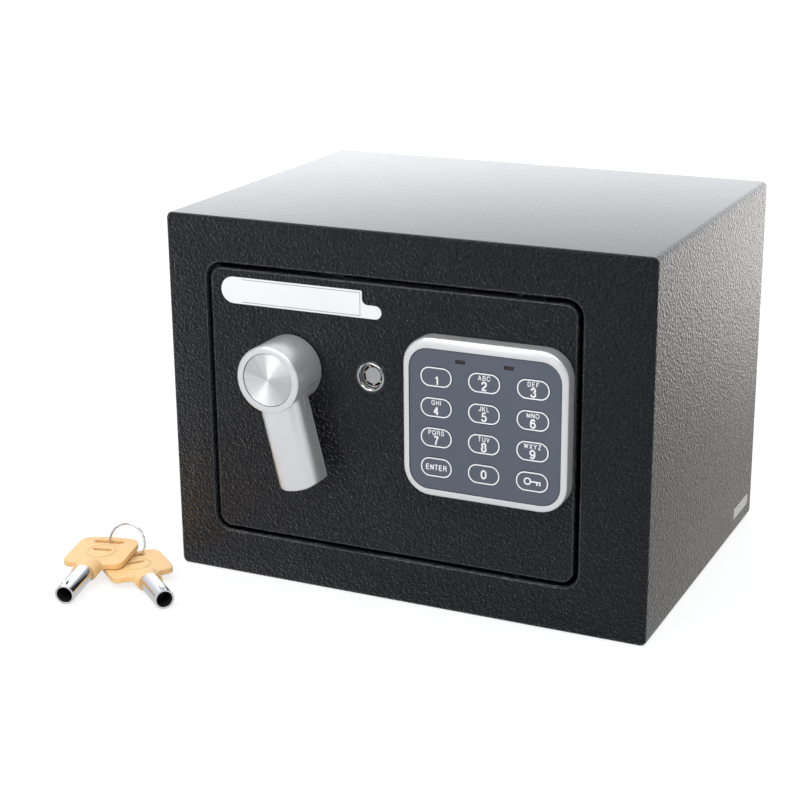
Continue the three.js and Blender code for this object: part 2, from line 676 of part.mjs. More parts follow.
// The spindle runs from the hub through the bush to the drive cam, which carries the crank pin.
function makeSpindle() {
  const camFront = DOOR.back + SEAT + BUSH_THICKNESS + SEAT;
  const camBack = camFront + CAM_THICKNESS;
  const spindle = turned(
    rod(SPINDLE / 2, FRONT - SPINDLE_BLIND, camBack + 3), "y", along(HANDLE.x, 0, HANDLE.z),
  );
  add("handle_spindle", spindle, FINISH.zincSteel);

  const bushInner = SPINDLE / 2 + RUN;
  const bushOuter = bushInner + BUSH_WALL;
  const bushBack = DOOR.back + SEAT + BUSH_THICKNESS;
  const bush = [
    [bushInner, FRONT + SEAT],
    [bushOuter, FRONT + SEAT],
    [bushOuter, DOOR.back + SEAT],
    [BUSH_FLANGE / 2, DOOR.back + SEAT],
    [BUSH_FLANGE / 2, bushBack],
    [bushInner, bushBack],
    [bushInner, FRONT + SEAT],
  ];
  add("handle_bush", turned(bush, "y", along(HANDLE.x, 0, HANDLE.z)), FINISH.brass);

  const hub = circle(HANDLE.x, HANDLE.z, CAM_HUB_RADIUS, 24);
  const lobe = circle(CRANK.x, CRANK.z, CAM_LOBE_RADIUS, 16);
  const lobeWay = point(CRANK.x - HANDLE.x, CRANK.z - HANDLE.z).normalize();
  const side = point(-lobeWay.y, lobeWay.x);
  const edge = (x, z, reach) => point(x + side.x * reach, z + side.y * reach);
  const web = [
    edge(HANDLE.x, HANDLE.z, -CAM_HUB_RADIUS),
    edge(CRANK.x, CRANK.z, -CAM_LOBE_RADIUS),
    edge(CRANK.x, CRANK.z, CAM_LOBE_RADIUS),
    edge(HANDLE.x, HANDLE.z, CAM_HUB_RADIUS),
  ];
  let cam = slabY(hub, camFront, camBack).add(slabY(lobe, camFront, camBack));
  cam = cam.add(slabY(web, camFront, camBack));
  const bore = circle(HANDLE.x, HANDLE.z, SPINDLE / 2 + SEAT);
  cam = cam.subtract(slabY(bore, camFront - 1, camBack + 1));
  const pinEnd = CARRIAGE.front + CARRIAGE_THICKNESS + 2;
  cam = cam.add(slabY(circle(CRANK.x, CRANK.z, CRANK_PIN / 2, 12), camBack - 1, pinEnd));
  add("drive_cam", cam, FINISH.zincSteel);
}

// The bolt work: the carriage with its crank slot and blocking arm, and two bolts

function makeBolts() {
  BOLTS.heights.forEach((z, i) => {
    const radius = BOLT_DIAMETER / 2;
    const rear = BOLTS.tip + BOLT_LENGTH;
    const profile = [
      [0, BOLTS.tip],
      [radius - BOLT_CHAMFER, BOLTS.tip],
      [radius - BOLT_CHAMFER * 0.4, BOLTS.tip + BOLT_CHAMFER * 0.4],
      [radius, BOLTS.tip + BOLT_CHAMFER],
      [radius, rear],
      [BOLT_STUD / 2, rear],
      [BOLT_STUD / 2, rear + CARRIAGE_THICKNESS + 3],
      [0, rear + CARRIAGE_THICKNESS + 3],
    ];
    const bolt = turned(profile, "x", along(0, BOLTS.y, z), 24);
    add(i ? "bolt_upper" : "bolt_lower", bolt, FINISH.chrome);
  });
}

function makeCarriage() {
  const x0 = CARRIAGE.left;
  const x1 = x0 + CARRIAGE_WIDTH;
  const [low, high] = BOLTS.heights;
  const half = CARRIAGE_TAB / 2;
  const armTop = ARM.bottom + ARM_HEIGHT;
  const outline = [
    point(x0, low - half),
    point(x1, low - half),
    point(x1, ARM.bottom),
    point(ARM.right, ARM.bottom),
    point(ARM.right, armTop),
    point(x1, armTop),
    point(x1, high + half),
    point(x0, high + half),
  ];
  const slotHalf = CRANK_PIN / 2 + SLOT_PLAY;
  const slot = roundedBox(
    CRANK.x - slotHalf, CRANK.lowest - slotHalf,
    CRANK.x + slotHalf, CRANK.z + slotHalf, slotHalf - 0.01, 3,
  );
  const studZ = (low + ARM.bottom) / 2;
  const studX = x0 + STUD_DIAMETER / 2 + 3;
  const play = STUD_DIAMETER / 2 + RUN;
  const guideSlot = roundedBox(
    studX - play, studZ - play, studX + THROW + play, studZ + play, play - 0.01, 3,
  );
  const back = CARRIAGE.front + CARRIAGE_THICKNESS;
  let carriage = slabY(outline, CARRIAGE.front, back, [slot, guideSlot]);
  for (const z of BOLTS.heights) {
    const tab = box(BOLTS.y - half, z - half, back, z + half);
    const bore = circle(BOLTS.y, z, BOLT_STUD / 2 + SEAT, 16);
    carriage = carriage.add(slabX(tab, x0, x0 + CARRIAGE_THICKNESS, [bore]));
    const relief = slabX(circle(BOLTS.y, z, BOLT_STUD / 2 + SEAT, 16), x0 - 1, x1);
    carriage = carriage.subtract(relief);
  }
  add("bolt_carriage", carriage, FINISH.zincSteel);

  const stud = [
    [0, DOOR.back + SEAT],
    [STUD_DIAMETER / 2, DOOR.back + SEAT],
    [STUD_DIAMETER / 2, back + SEAT],
    [STUD_HEAD / 2, back + SEAT],
    [STUD_HEAD / 2, back + SEAT + 1.5],
    [0, back + SEAT + 1.5],
  ];
  add("guide_stud", turned(stud, "y", along(studX, 0, studZ), 16), FINISH.zincSteel);

  const guideLeft = COVER.left + GUIDE_INSET;
  const guideFront = DOOR.back + SEAT;
  const guideBack = BOLTS.y + BOLT_DIAMETER / 2 + 2;
  const bores = BOLTS.heights.map((z) => circle(BOLTS.y, z, BOLT_DIAMETER / 2 + RUN, 24));
  const margin = BOLT_DIAMETER / 2 + 4;
  const strip = box(guideFront, low - margin, guideBack, high + margin);
  const upright = slabX(strip, guideLeft, guideLeft + GUIDE_THICKNESS, bores);
  const footStrip = box(guideLeft, low - margin, guideLeft + GUIDE_FOOT, high + margin);
  const guide = upright.add(slabY(footStrip, guideFront, guideFront + GUIDE_THICKNESS));
  add("bolt_guide", guide, FINISH.zincSteel);
}

// The override lock: barrel, nut, turning core and the cam on the core's stub

function makeLock() {
  const at = along(LOCK.x, 0, LOCK.z);
  const back = FRONT + LOCK_LENGTH;
  const bore = CORE_RADIUS + SEAT;
  const lip = FRONT - LOCK_PROUD;
  const rounded = arc(LOCK_RADIUS - LOCK_EDGE, lip + LOCK_EDGE, LOCK_EDGE, -90, 0, 3);
  const barrel = [
    [bore, lip + LOCK_EDGE / 2],
    [bore + LOCK_EDGE / 2, lip],
    ...rounded.map((p) => [p.x, p.y]),
    [LOCK_RADIUS, back],
    [bore, back],
    [bore, lip + LOCK_EDGE / 2],
  ];
  const notch = box(
    LOCK.x - NOTCH_WIDTH / 2, LOCK.z, LOCK.x + NOTCH_WIDTH / 2, LOCK.z + LOCK_RADIUS - 0.4,
  );
  const housing = turned(barrel, "y", at, 24);
  const notched = housing.subtract(slabY(notch, lip - 1, FRONT + CORE_RECESS));
  add("lock_barrel", notched, FINISH.chrome);

  const face = FRONT + CORE_RECESS;
  const floor = face + KEYWAY_DEPTH;
  const stubEnd = back + SEAT + LOCK_CAM_THICKNESS + SEAT;
  const core = [
    [0, face],
    [POST_RADIUS, face],
    [POST_RADIUS, floor],
    [KEYWAY_OUTER, floor],
    [KEYWAY_OUTER, face],
    [CORE_RADIUS, face],
    [CORE_RADIUS, back],
    [CORE_STUB, back],
    [CORE_STUB, stubEnd],
    [0, stubEnd],
  ];
  add("lock_core", turned(core, "y", at, 24), FINISH.chrome);

  const nutFront = DOOR.back + SEAT;
  const corner = NUT_ACROSS_FLATS / 2 / Math.cos(Math.PI / 6);
  const hole = circle(LOCK.x, LOCK.z, LOCK_RADIUS + SEAT, 24);
  const nut = slabY(circle(LOCK.x, LOCK.z, corner, 6), nutFront, nutFront + NUT_THICKNESS, [hole]);
  add("lock_nut", nut, FINISH.zincSteel);

  const camFront = back + SEAT;
  const camBack = camFront + LOCK_CAM_THICKNESS;
  const stubHole = circle(LOCK.x, LOCK.z, CORE_STUB + SEAT, 16);
  let cam = slabY(circle(LOCK.x, LOCK.z, LOCK_CAM_RADIUS, 24), camFront, camBack, [stubHole]);
  const pinAway = LOCK_PIN_THROW * Math.SQRT1_2;
  const pinX = LOCK.x + pinAway;
  const pinZ = LOCK.z + pinAway;
  const pinEnd = CARRIAGE.front - SEAT;
  cam = cam.add(slabY(circle(pinX, pinZ, LOCK_PIN / 2, 12), camBack - 1, pinEnd));
  add("lock_cam", cam, FINISH.zincSteel);

  // The link hangs on the cam's pin by a level slot and holds the plunger by its neck.
  const linkBack = CARRIAGE.front - 2 * SEAT;
  const linkFront = linkBack - LINK_THICKNESS;
  const slotHalf = LOCK_PIN / 2 + RUN;
  const slot = roundedBox(
    pinX - slotHalf, pinZ - slotHalf,
    LOCK.x + LOCK_PIN_THROW + slotHalf, pinZ + slotHalf, slotHalf - 0.01, 2,
  );
  const stripLeft = PLUNGER_LINE.x + PLUNGER / 2 + 1;
  const rim = 1.8;
  const eyeRight = LOCK.x + LOCK_PIN_THROW + slotHalf + rim;
  const eyeLeft = pinX - slotHalf - rim;
  const eye = roundedBox(
    Math.min(eyeLeft, stripLeft), pinZ - slotHalf - rim, eyeRight, pinZ + slotHalf + rim, 1, 2,
  );
  const strip = box(stripLeft, NECK, stripLeft + LINK_WIDTH, pinZ);
  let link = slabY(eye, linkFront, linkBack).add(slabY(strip, linkFront, linkBack));
  link = link.subtract(slabY(slot, linkFront - 1, linkBack + 1));
  const tabBack = PLUNGER_LINE.y + PLUNGER / 2 + 1;
  const tabLeft = PLUNGER_LINE.x - PLUNGER / 2 - 1;
  const tab = box(tabLeft, linkFront, stripLeft + LINK_WIDTH, tabBack);
  const neckHole = circle(PLUNGER_LINE.x, PLUNGER_LINE.y, PLUNGER_NECK / 2 + SEAT, 12);
  link = link.add(slabZ(tab, NECK, NECK + LINK_THICKNESS, [neckHole]));
  add("plunger_link", link, FINISH.zincSteel);
}

// The solenoid: bracket, coil, plunger and the spring that pushes the plunger up

function makeSolenoid() {
  const { x, y } = PLUNGER_LINE;
  const half = BRACKET_WIDTH / 2;
  const bracketFront = DOOR.back + SEAT;
  const coilBack = y + COIL_RADIUS;
  const base = box(x - half, bracketFront, x + half, bracketFront + BRACKET_THICKNESS);
  const shelf = box(x - half, bracketFront, x + half, coilBack);
  const bore = circle(x, y, PLUNGER / 2 + RUN, 16);
  let bracket = slabZ(base, SOLENOID_BOTTOM, SOLENOID_TOP);
  bracket = bracket.add(
    slabZ(shelf, SOLENOID_TOP - BRACKET_THICKNESS, SOLENOID_TOP, [bore]),
  );
  bracket = bracket.add(
    slabZ(shelf, SOLENOID_BOTTOM, SOLENOID_BOTTOM + BRACKET_THICKNESS),
  );
  add("solenoid_bracket", bracket, FINISH.zincSteel);

  const coilBottom = SOLENOID_BOTTOM + BRACKET_THICKNESS + SEAT;
  const inner = PLUNGER / 2 + RUN;
  const flange = 1.2;
  const wound = COIL_RADIUS - 0.8;
  const coilTop = coilBottom + COIL_LENGTH;
  const coil = [
    [inner, coilBottom],
    [COIL_RADIUS, coilBottom],
    [COIL_RADIUS, coilBottom + flange],
    [wound, coilBottom + flange],
    [wound, coilTop - flange],
    [COIL_RADIUS, coilTop - flange],
    [COIL_RADIUS, coilTop],
    [inner, coilTop],
    [inner, coilBottom],
  ];
  add("solenoid_coil", turned(coil, "z", along(x, y, 0)), FINISH.copperCoil);

  const radius = PLUNGER / 2;
  const neck = PLUNGER_NECK / 2;
  const neckBottom = NECK - SEAT;
  const neckTop = NECK + LINK_THICKNESS + SEAT;
  const stroke = LOCK_PIN_THROW * Math.SQRT2;
  const plunger = [
    [0, coilBottom + stroke + SEAT],
    [radius, coilBottom + stroke + SEAT],
    [radius, neckBottom],
    [neck, neckBottom],
    [neck, neckTop],
    [radius, neckTop],
    [radius, PLUNGER_TIP - 0.6],
    [radius - 0.6, PLUNGER_TIP],
    [0, PLUNGER_TIP],
  ];
  add("plunger", turned(plunger, "z", along(x, y, 0), 16), FINISH.zincSteel);

  // The coils of the spring stand between the bracket and the link's tab.
  const wire = SPRING_WIRE / 2;
  const bottom = SOLENOID_TOP + SEAT + wire;
  const top = NECK - SEAT - wire;
  const path = [];
  const steps = SPRING_TURNS * 8;
  for (let i = 0; i <= steps; i++) {
    const angle = (2 * Math.PI * i) / 8;
    const z = bottom + ((top - bottom) * i) / steps;
    path.push(along(x + SPRING_RADIUS * Math.cos(angle), y + SPRING_RADIUS * Math.sin(angle), z));
  }
  const curve = new THREE.CatmullRomCurve3(path);
  const section = new THREE.Shape(circle(0, 0, wire, 5));
  const spring = new THREE.ExtrudeGeometry(section, {
    steps,
    extrudePath: curve,
    bevelEnabled: false,
  });
  add("plunger_spring", solid(spring), FINISH.zincSteel);
}

// The keypad: bezel, panel, twelve keys, light pipe, key mat and circuit board

function makeKeypad() {
  const innerWidth = PANEL_WIDTH + 2 * SEAT;
  const innerHeight = PANEL_HEIGHT + 2 * SEAT;
  const corner = KEYPAD_CORNER;
  const outer = new THREE.Shape(
    centredBox(KEYPAD.x, KEYPAD.z, KEYPAD_WIDTH, KEYPAD_HEIGHT, corner, 8),
  );
  const rounding = {
    depth: KEYPAD_DEPTH,
    bevelThickness: KEYPAD_ROUND,
    bevelSize: KEYPAD_ROUND,
    bevelOffset: -KEYPAD_ROUND,
    bevelSegments: 3,
  };
  const front = FRONT - KEYPAD_DEPTH;
  const block = new THREE.ExtrudeGeometry(outer, rounding);
  block.rotateX(Math.PI / 2).translate(0, front + KEYPAD_ROUND + KEYPAD_DEPTH, 0);
  const doorSide = box(-CASE_WIDTH, 0, CASE_WIDTH, CASE_HEIGHT);
  const window = centredBox(PANEL.x, PANEL.z, innerWidth, innerHeight, PANEL_CORNER + SEAT, 6);
  let bezel = solid(block).subtract(slabY(doorSide, FRONT - SEAT, BACK));
  bezel = bezel.subtract(slabY(window, front - 1, BACK));
  add("keypad_bezel", bezel, FINISH.satinSilver);

  const keyPlaces = [];
  for (let row = 0; row < 4; row++) {
    for (let column = 0; column < 3; column++) {
      const x = PANEL.x + (column - 1) * KEY_PITCH_X;
      const z = PANEL.z - KEYS_DROP + (1.5 - row) * KEY_PITCH_Z;
      keyPlaces.push({ x, z });
    }
  }
  const ledPlaces = [-1, 1].map((side) => ({
    x: PANEL.x + (side * LED_PITCH) / 2,
    z: PANEL.z + PANEL_HEIGHT / 2 - LED_DOWN,
  }));
  const windows = [
    ...keyPlaces.map((k) => pill(k.x, k.z, KEY_WIDTH + 2 * SEAT, KEY_HEIGHT + 2 * SEAT)),
    ...ledPlaces.map((l) => {
      const w = LED_WIDTH / 2 + SEAT;
      const h = LED_HEIGHT / 2 + SEAT;
      return box(l.x - w, l.z - h, l.x + w, l.z + h);
    }),
  ];
  const panel = centredBox(PANEL.x, PANEL.z, PANEL_WIDTH, PANEL_HEIGHT, PANEL_CORNER, 6);
  let face = slabY(panel, PANEL_FRONT, PANEL_BACK);
  for (const outline of windows) {
    face = face.subtract(slabY(outline, PANEL_FRONT - 1, PANEL_BACK + 1));
  }
  add("keypad_panel", face, FINISH.slatePlastic);

  const names = ["1", "2", "3", "4", "5", "6", "7", "8", "9", "enter", "0", "open"];
  keyPlaces.forEach((k, i) => {
    const cap = slabY(pill(k.x, k.z, KEY_WIDTH, KEY_HEIGHT), KEY_FRONT, KEY_BACK - 0.1);
    const wide = KEY_WIDTH + 2 * KEY_FLANGE;
    const high = KEY_HEIGHT + 2 * KEY_FLANGE;
    const flange = slabY(pill(k.x, k.z, wide, high), KEY_BACK - KEY_FLANGE_THICKNESS, KEY_BACK);
    add("key_" + names[i], cap.add(flange), FINISH.slatePlastic);
  });

  const barBack = KEY_BACK;
  const barFront = PANEL_BACK + SEAT;
  const bar = box(
    ledPlaces[0].x - LED_WIDTH, ledPlaces[0].z - LED_HEIGHT,
    ledPlaces[1].x + LED_WIDTH, ledPlaces[1].z + LED_HEIGHT,
  );
  let pipe = slabY(bar, barFront, barBack);
  for (const l of ledPlaces) {
    const window = box(
      l.x - LED_WIDTH / 2, l.z - LED_HEIGHT / 2, l.x + LED_WIDTH / 2, l.z + LED_HEIGHT / 2,
    );
    pipe = pipe.add(slabY(window, PANEL_FRONT + SEAT, barFront + 0.1));
  }
  add("light_pipe", pipe, FINISH.smokedPlastic);

  const matBack = MAT_FRONT + MAT_SHEET;
  let mat = slabY(panel, MAT_FRONT, matBack);
  for (const k of keyPlaces) {
    const pad = pill(k.x, k.z, KEY_WIDTH - 4, KEY_HEIGHT - 3, 2);
    mat = mat.add(slabY(pad, MAT_FRONT - MAT_PAD, matBack));
  }
  add("key_mat", mat, FINISH.greyRubber);

  const boardFront = matBack + SEAT;
  const boardBack = Math.min(boardFront + BOARD_THICKNESS, BOARD_BACK);
  add("circuit_board", slabY(panel, boardFront, boardBack), FINISH.greenBoard);
}

// The lead leaves the board through the door and runs down into the battery box.
function makeLead() {
  const y0 = FRONT - SEAT + 0.05;
  const y1 = BOX.floor + 4;
  const { x, z } = LEAD_HOLE;
  const bend = LEAD_BEND;
  const path = new THREE.CurvePath();
  path.add(new THREE.LineCurve3(along(x, y0, z), along(x, y1 - bend, z)));
  path.add(new THREE.QuadraticBezierCurve3(
    along(x, y1 - bend, z), along(x, y1, z), along(x, y1, z - bend),
  ));
  path.add(new THREE.LineCurve3(along(x, y1, z - bend), along(x, y1, BOX.top + SEAT)));
  const section = new THREE.Shape(circle(0, 0, LEAD / 2, 8));
  const lead = new THREE.ExtrudeGeometry(section, {
    steps: 14,
    extrudePath: path,
    bevelEnabled: false,
  });
  add("keypad_lead", solid(lead), FINISH.blackPlastic);
}

// The battery box with four cells, and the pull-off cover over it

function makeBatteries() {
  const middle = BOX.floor + CELL_RADIUS + SEAT;
  const outer = box(BOX.left, BOX.bottom, BOX.right, BOX.top);
  const inner = box(
    BOX.left + BOX_WALL, BOX.bottom + BOX_WALL, BOX.right - BOX_WALL, BOX.top - BOX_WALL,
  );
  let tray = slabY(outer, BOX.floor - BOX_WALL, BOX.back);
  tray = tray.subtract(slabY(inner, BOX.floor, BOX.back + 1));
  for (const z of [BOX.bottom, BOX.top - 3]) {
    const rail = box(BOX.left, z, BOX.right, z + 3);
    tray = tray.add(slabY(rail, DOOR.back + SEAT, BOX.floor - BOX_WALL + 0.1));
  }
  add("battery_box", tray, FINISH.blackPlastic);
  for (let i = 0; i < CELL_COUNT; i++) {
    const z = BOX.bottom + BOX_WALL + SEAT + CELL_RADIUS + i * CELL_PITCH;
    const profile = [
      [0, 0],
      [CELL_RADIUS, 0],
      [CELL_RADIUS, CELL_LENGTH],
      [CELL_NUB_RADIUS, CELL_LENGTH],
      [CELL_NUB_RADIUS, CELL_LENGTH + CELL_NUB],
      [0, CELL_LENGTH + CELL_NUB],
    ];
    const turnedRound = i % 2 === 1;
    const cell = turned(profile, "x", along(0, 0, 0));
    const start = BOX.left + BOX_WALL + SEAT;
    const placed = turnedRound
      ? cell.rotate([0, 0, 180]).translate([start + CELL_LENGTH + CELL_NUB, middle, z])
      : cell.translate([start, middle, z]);
    add("cell_" + (i + 1), placed, FINISH.cellWrap);
  }
}

function makeMechanismCover() {
  const front = DOOR.back + SEAT;
  const outer = roundedBox(COVER.left, COVER.bottom, COVER.right, COVER.top, COVER_CORNER, 3);
  const inner = roundedBox(
    COVER.left + COVER_WALL, COVER.bottom + COVER_WALL,
    COVER.right - COVER_WALL, COVER.top - COVER_WALL, COVER_CORNER - COVER_WALL, 3,
  );
  let cover = slabY(outer, front, COVER.back);
  cover = cover.subtract(slabY(inner, front - 1, COVER.back - COVER_WALL));
  for (const z of BOLTS.heights) {
    const bore = circle(BOLTS.y, z, BOLT_DIAMETER / 2 + RUN, 24);
    cover = cover.subtract(slabX(bore, COVER.left - 1, COVER.left + COVER_WALL + 1));
  }
  const lip = COVER_LIP;
  const door = (gap) => roundedBox(
    BOX.left + lip - gap, BOX.bottom + lip - gap,
    BOX.right - lip + gap, BOX.top - lip + gap, 2, 2,
  );
  cover = cover.subtract(slabY(door(SEAT), COVER.back - 3, COVER.back + 1));
  const resetX = COVER.right - RESET_IN;
  const resetZ = COVER.top - RESET_DOWN;
  const resetBore = circle(resetX, resetZ, RESET_RADIUS + SEAT, 16);
  cover = cover.subtract(slabY(resetBore, COVER.back - 3, COVER.back + 1));
  add("mechanism_cover", cover, FINISH.blackPaint);

  const lid = slabY(door(0), COVER.back - COVER_WALL, COVER.back + 0.8);
  const catchX = (BOX.left + BOX.right) / 2;
  const thumb = roundedBox(
    catchX - THUMB_WIDTH / 2, BOX.top - THUMB_DOWN - THUMB_HEIGHT,
    catchX + THUMB_WIDTH / 2, BOX.top - THUMB_DOWN, 2, 2,
  );
  const dished = lid.subtract(slabY(thumb, COVER.back, COVER.back + 2));
  add("battery_cover", dished, FINISH.blackPlastic);

  const flange = COVER.back - COVER_WALL - SEAT;
  const reset = [
    [0, flange - RESET_FLANGE],
    [RESET_RADIUS + RESET_FLANGE, flange - RESET_FLANGE],
    [RESET_RADIUS + RESET_FLANGE, flange],
    [RESET_RADIUS, flange],
    [RESET_RADIUS, COVER.back + RESET_SHOW],
    [0, COVER.back + RESET_SHOW],
  ];
  add("reset_button", turned(reset, "y", along(resetX, 0, resetZ), 16), FINISH.redPlastic);
}

// The override keys. A key is drawn lying along +X, with the middle of its tube's open end
// at the origin and its bow level, and is then laid on the floor.

function bowOutline() {
  const half = BOW_WIDTH / 2;
  const neck = BOSS_WIDTH / 2;
  const corner = 6;
  const fillet = 3;
  const left = [
    ...arc(BOW_END - corner - 1, half - corner, corner, 20, 80, 4),
    point((BOW_START + BOW_END) / 2, half),
    ...arc(BOW_START + 4, half - 4, 4, 90, 190, 4),
    ...arc(BOW_START - fillet, neck + fillet - 0.5, fillet, 0, -90, 3),
  ];
  const right = left.map((p) => point(p.x, -p.y)).reverse();
  const boss = TUBE_LENGTH + SEAT;
  return [point(BOW_END, 0), ...left, point(boss, neck - 0.5), point(boss, 0.5 - neck), ...right];
}

function layKey(place) {
  const turn = new THREE.Matrix4().makeRotationZ(THREE.MathUtils.degToRad(place.heading));
  const tilt = new THREE.Matrix4().makeRotationY(-THREE.MathUtils.degToRad(place.tilt));
  const roll = new THREE.Matrix4().makeRotationX(THREE.MathUtils.degToRad(place.roll));
  return turn.multiply(tilt).multiply(roll).setPosition(place.x, place.y, place.z);
}

function makeKey(name, place) {
  const lay = layKey(place).elements;
  const bowHalf = BOW_THICKNESS / 2;
  const slot = (fromEnd, width, length) =>
    centredBox(BOW_END - fromEnd - width / 2, 0, width, length, width / 2 - 0.01, 2);
  const slots = [
    slot(KEY_SLOT_FROM_END, KEY_SLOT, KEY_SLOT_LENGTH),
    slot(THIN_SLOT_FROM_END, THIN_SLOT, THIN_SLOT_LENGTH),
  ];
  const bossStart = TUBE_LENGTH + SEAT;
  const bossRod = turned(rod(BOSS_WIDTH / 2, bossStart, BOW_START), "x", along(0, 0, 0), 20);
  const boss = bossRod.scale([1, 1, BOSS_HEIGHT / BOSS_WIDTH]);
  const stemEnd = TUBE_LENGTH + STEM_LENGTH;
  const bore = turned(rod(STEM_RADIUS + SEAT, 0, stemEnd + SEAT), "x", along(0, 0, 0), 16);
  const bow = slabZ(bowOutline(), -bowHalf, bowHalf, slots).add(boss).subtract(bore);
  add(name + "_bow", bow.transform(lay), FINISH.creamPlastic);
  const tube = [
    [0, TUBE_BORE_DEPTH],
    [TUBE_BORE, TUBE_BORE_DEPTH],
    [TUBE_BORE, 0],
    [TUBE_RADIUS, 0],
    [TUBE_RADIUS, TUBE_LENGTH],
    [STEM_RADIUS, TUBE_LENGTH],
    [STEM_RADIUS, stemEnd],
    [0, stemEnd],
  ];
  const lug = box(1, TUBE_RADIUS - 0.5, 4, TUBE_RADIUS + TUBE_LUG);
  const blade = turned(tube, "x", along(0, 0, 0), 24).add(slabY(lug, -0.9, 0.9));
  add(name + "_tube", blade.transform(lay), FINISH.chrome);
}

const KEY_PLACES = {
  override_key_left: { x: -137.3, y: -149.8, z: 4.9, heading: 101.5, tilt: 3.4, roll: -1.5 },
  override_key_right: { x: -93.3, y: -135.5, z: 4.92, heading: 140, tilt: -0.8, roll: -1 },
};
const RING_PLACE = { x: -138.6, y: -96.4, z: 9.68, heading: 3.9, lean: 16.6 };

function makeOverrideKeys() {
  for (const [name, place] of Object.entries(KEY_PLACES)) makeKey(name, place);
  const wire = circle(RING_RADIUS, 0, RING_WIRE / 2, 6);
  const profile = [...wire, wire[0]].map((p) => [p.x, p.y]);
  const ring = turned(profile, "y", along(0, 0, 0), 32);
  const stand = new THREE.Matrix4().makeRotationZ(THREE.MathUtils.degToRad(RING_PLACE.heading));
  const lean = new THREE.Matrix4().makeRotationX(-THREE.MathUtils.degToRad(RING_PLACE.lean));
  const place = stand.multiply(lean).setPosition(RING_PLACE.x, RING_PLACE.y, RING_PLACE.z);
  add("key_ring", ring.transform(place.elements), FINISH.chrome);
}

makeCase();
makeStrike();
makeHinges();
makeDoorPlate();
makeHandle();
makeSpindle();
makeBolts();
makeCarriage();
makeLock();
makeSolenoid();
makeKeypad();
makeLead();
makeBatteries();
makeMechanismCover();
makeOverrideKeys();

export default safe;
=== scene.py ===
"""Looks of the electronic safe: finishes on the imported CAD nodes, and the printed, stuck-on and small pieces.

Everything is in metres in the frame of the CAD: +Z up, the door facing -Y, and the origin under the middle of
the case.
"""

import json
import logging
import math
from dataclasses import dataclass, field, replace
from enum import Enum
from typing import Any, Callable, Optional, Sequence

import bpy
from mathutils import Matrix, Vector

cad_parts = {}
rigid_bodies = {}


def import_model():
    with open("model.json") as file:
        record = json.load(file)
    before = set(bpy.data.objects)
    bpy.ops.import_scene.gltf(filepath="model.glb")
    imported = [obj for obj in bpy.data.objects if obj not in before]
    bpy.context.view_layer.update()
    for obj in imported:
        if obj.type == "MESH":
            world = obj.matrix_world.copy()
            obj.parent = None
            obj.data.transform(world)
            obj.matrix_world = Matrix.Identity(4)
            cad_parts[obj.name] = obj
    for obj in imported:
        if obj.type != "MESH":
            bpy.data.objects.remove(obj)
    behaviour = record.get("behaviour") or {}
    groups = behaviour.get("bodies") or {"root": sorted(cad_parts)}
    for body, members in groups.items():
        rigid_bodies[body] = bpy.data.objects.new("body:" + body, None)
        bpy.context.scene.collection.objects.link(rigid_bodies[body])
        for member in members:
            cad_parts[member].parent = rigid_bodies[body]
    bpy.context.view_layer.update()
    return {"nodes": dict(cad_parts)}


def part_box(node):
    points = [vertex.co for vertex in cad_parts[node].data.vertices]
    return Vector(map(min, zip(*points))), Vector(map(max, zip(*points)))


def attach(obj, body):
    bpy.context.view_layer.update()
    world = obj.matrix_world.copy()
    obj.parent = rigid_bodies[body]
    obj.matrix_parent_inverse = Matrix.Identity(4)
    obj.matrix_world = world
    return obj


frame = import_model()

LOG = logging.getLogger("safe")
MM = 0.001
INK = 0.02 * MM  # thickness of all that is printed
SCATTER_COLOR = (1.0, 0.62, 0.25)  # how far each colour of light spreads in soft plastic, against SCATTER
SCATTER = 1.6 * MM
Color = tuple[float, float, float]
Place = tuple[float, float, float]
Profile = Sequence[tuple[float, float]]
Piece = bpy.types.Object
Tree = bpy.types.NodeTree
Node = bpy.types.Node
Socket = bpy.types.NodeSocket


class Slot(Enum):
    """The record's material slots."""

    PAINT = "black_paint"
    ZINC = "zinc_steel"
    SILVER = "silver_plastic"
    SPUN = "spun_metal"
    CHROME = "chrome"
    BRASS = "brass"
    SLATE = "slate_plastic"
    BLACK = "black_plastic"
    SMOKED = "smoked_plastic"
    BOARD = "green_board"
    RUBBER = "grey_rubber"
    COPPER = "copper_coil"
    RED = "red_plastic"
    CELL = "cell_wrap"
    FELT = "grey_felt"
    CREAM = "cream_plastic"


class Axis(Enum):
    """The way a turned piece's axis points."""

    X = (0.0, math.pi / 2, 0.0)
    Y = (-math.pi / 2, 0.0, 0.0)
    Z = (0.0, 0.0, 0.0)


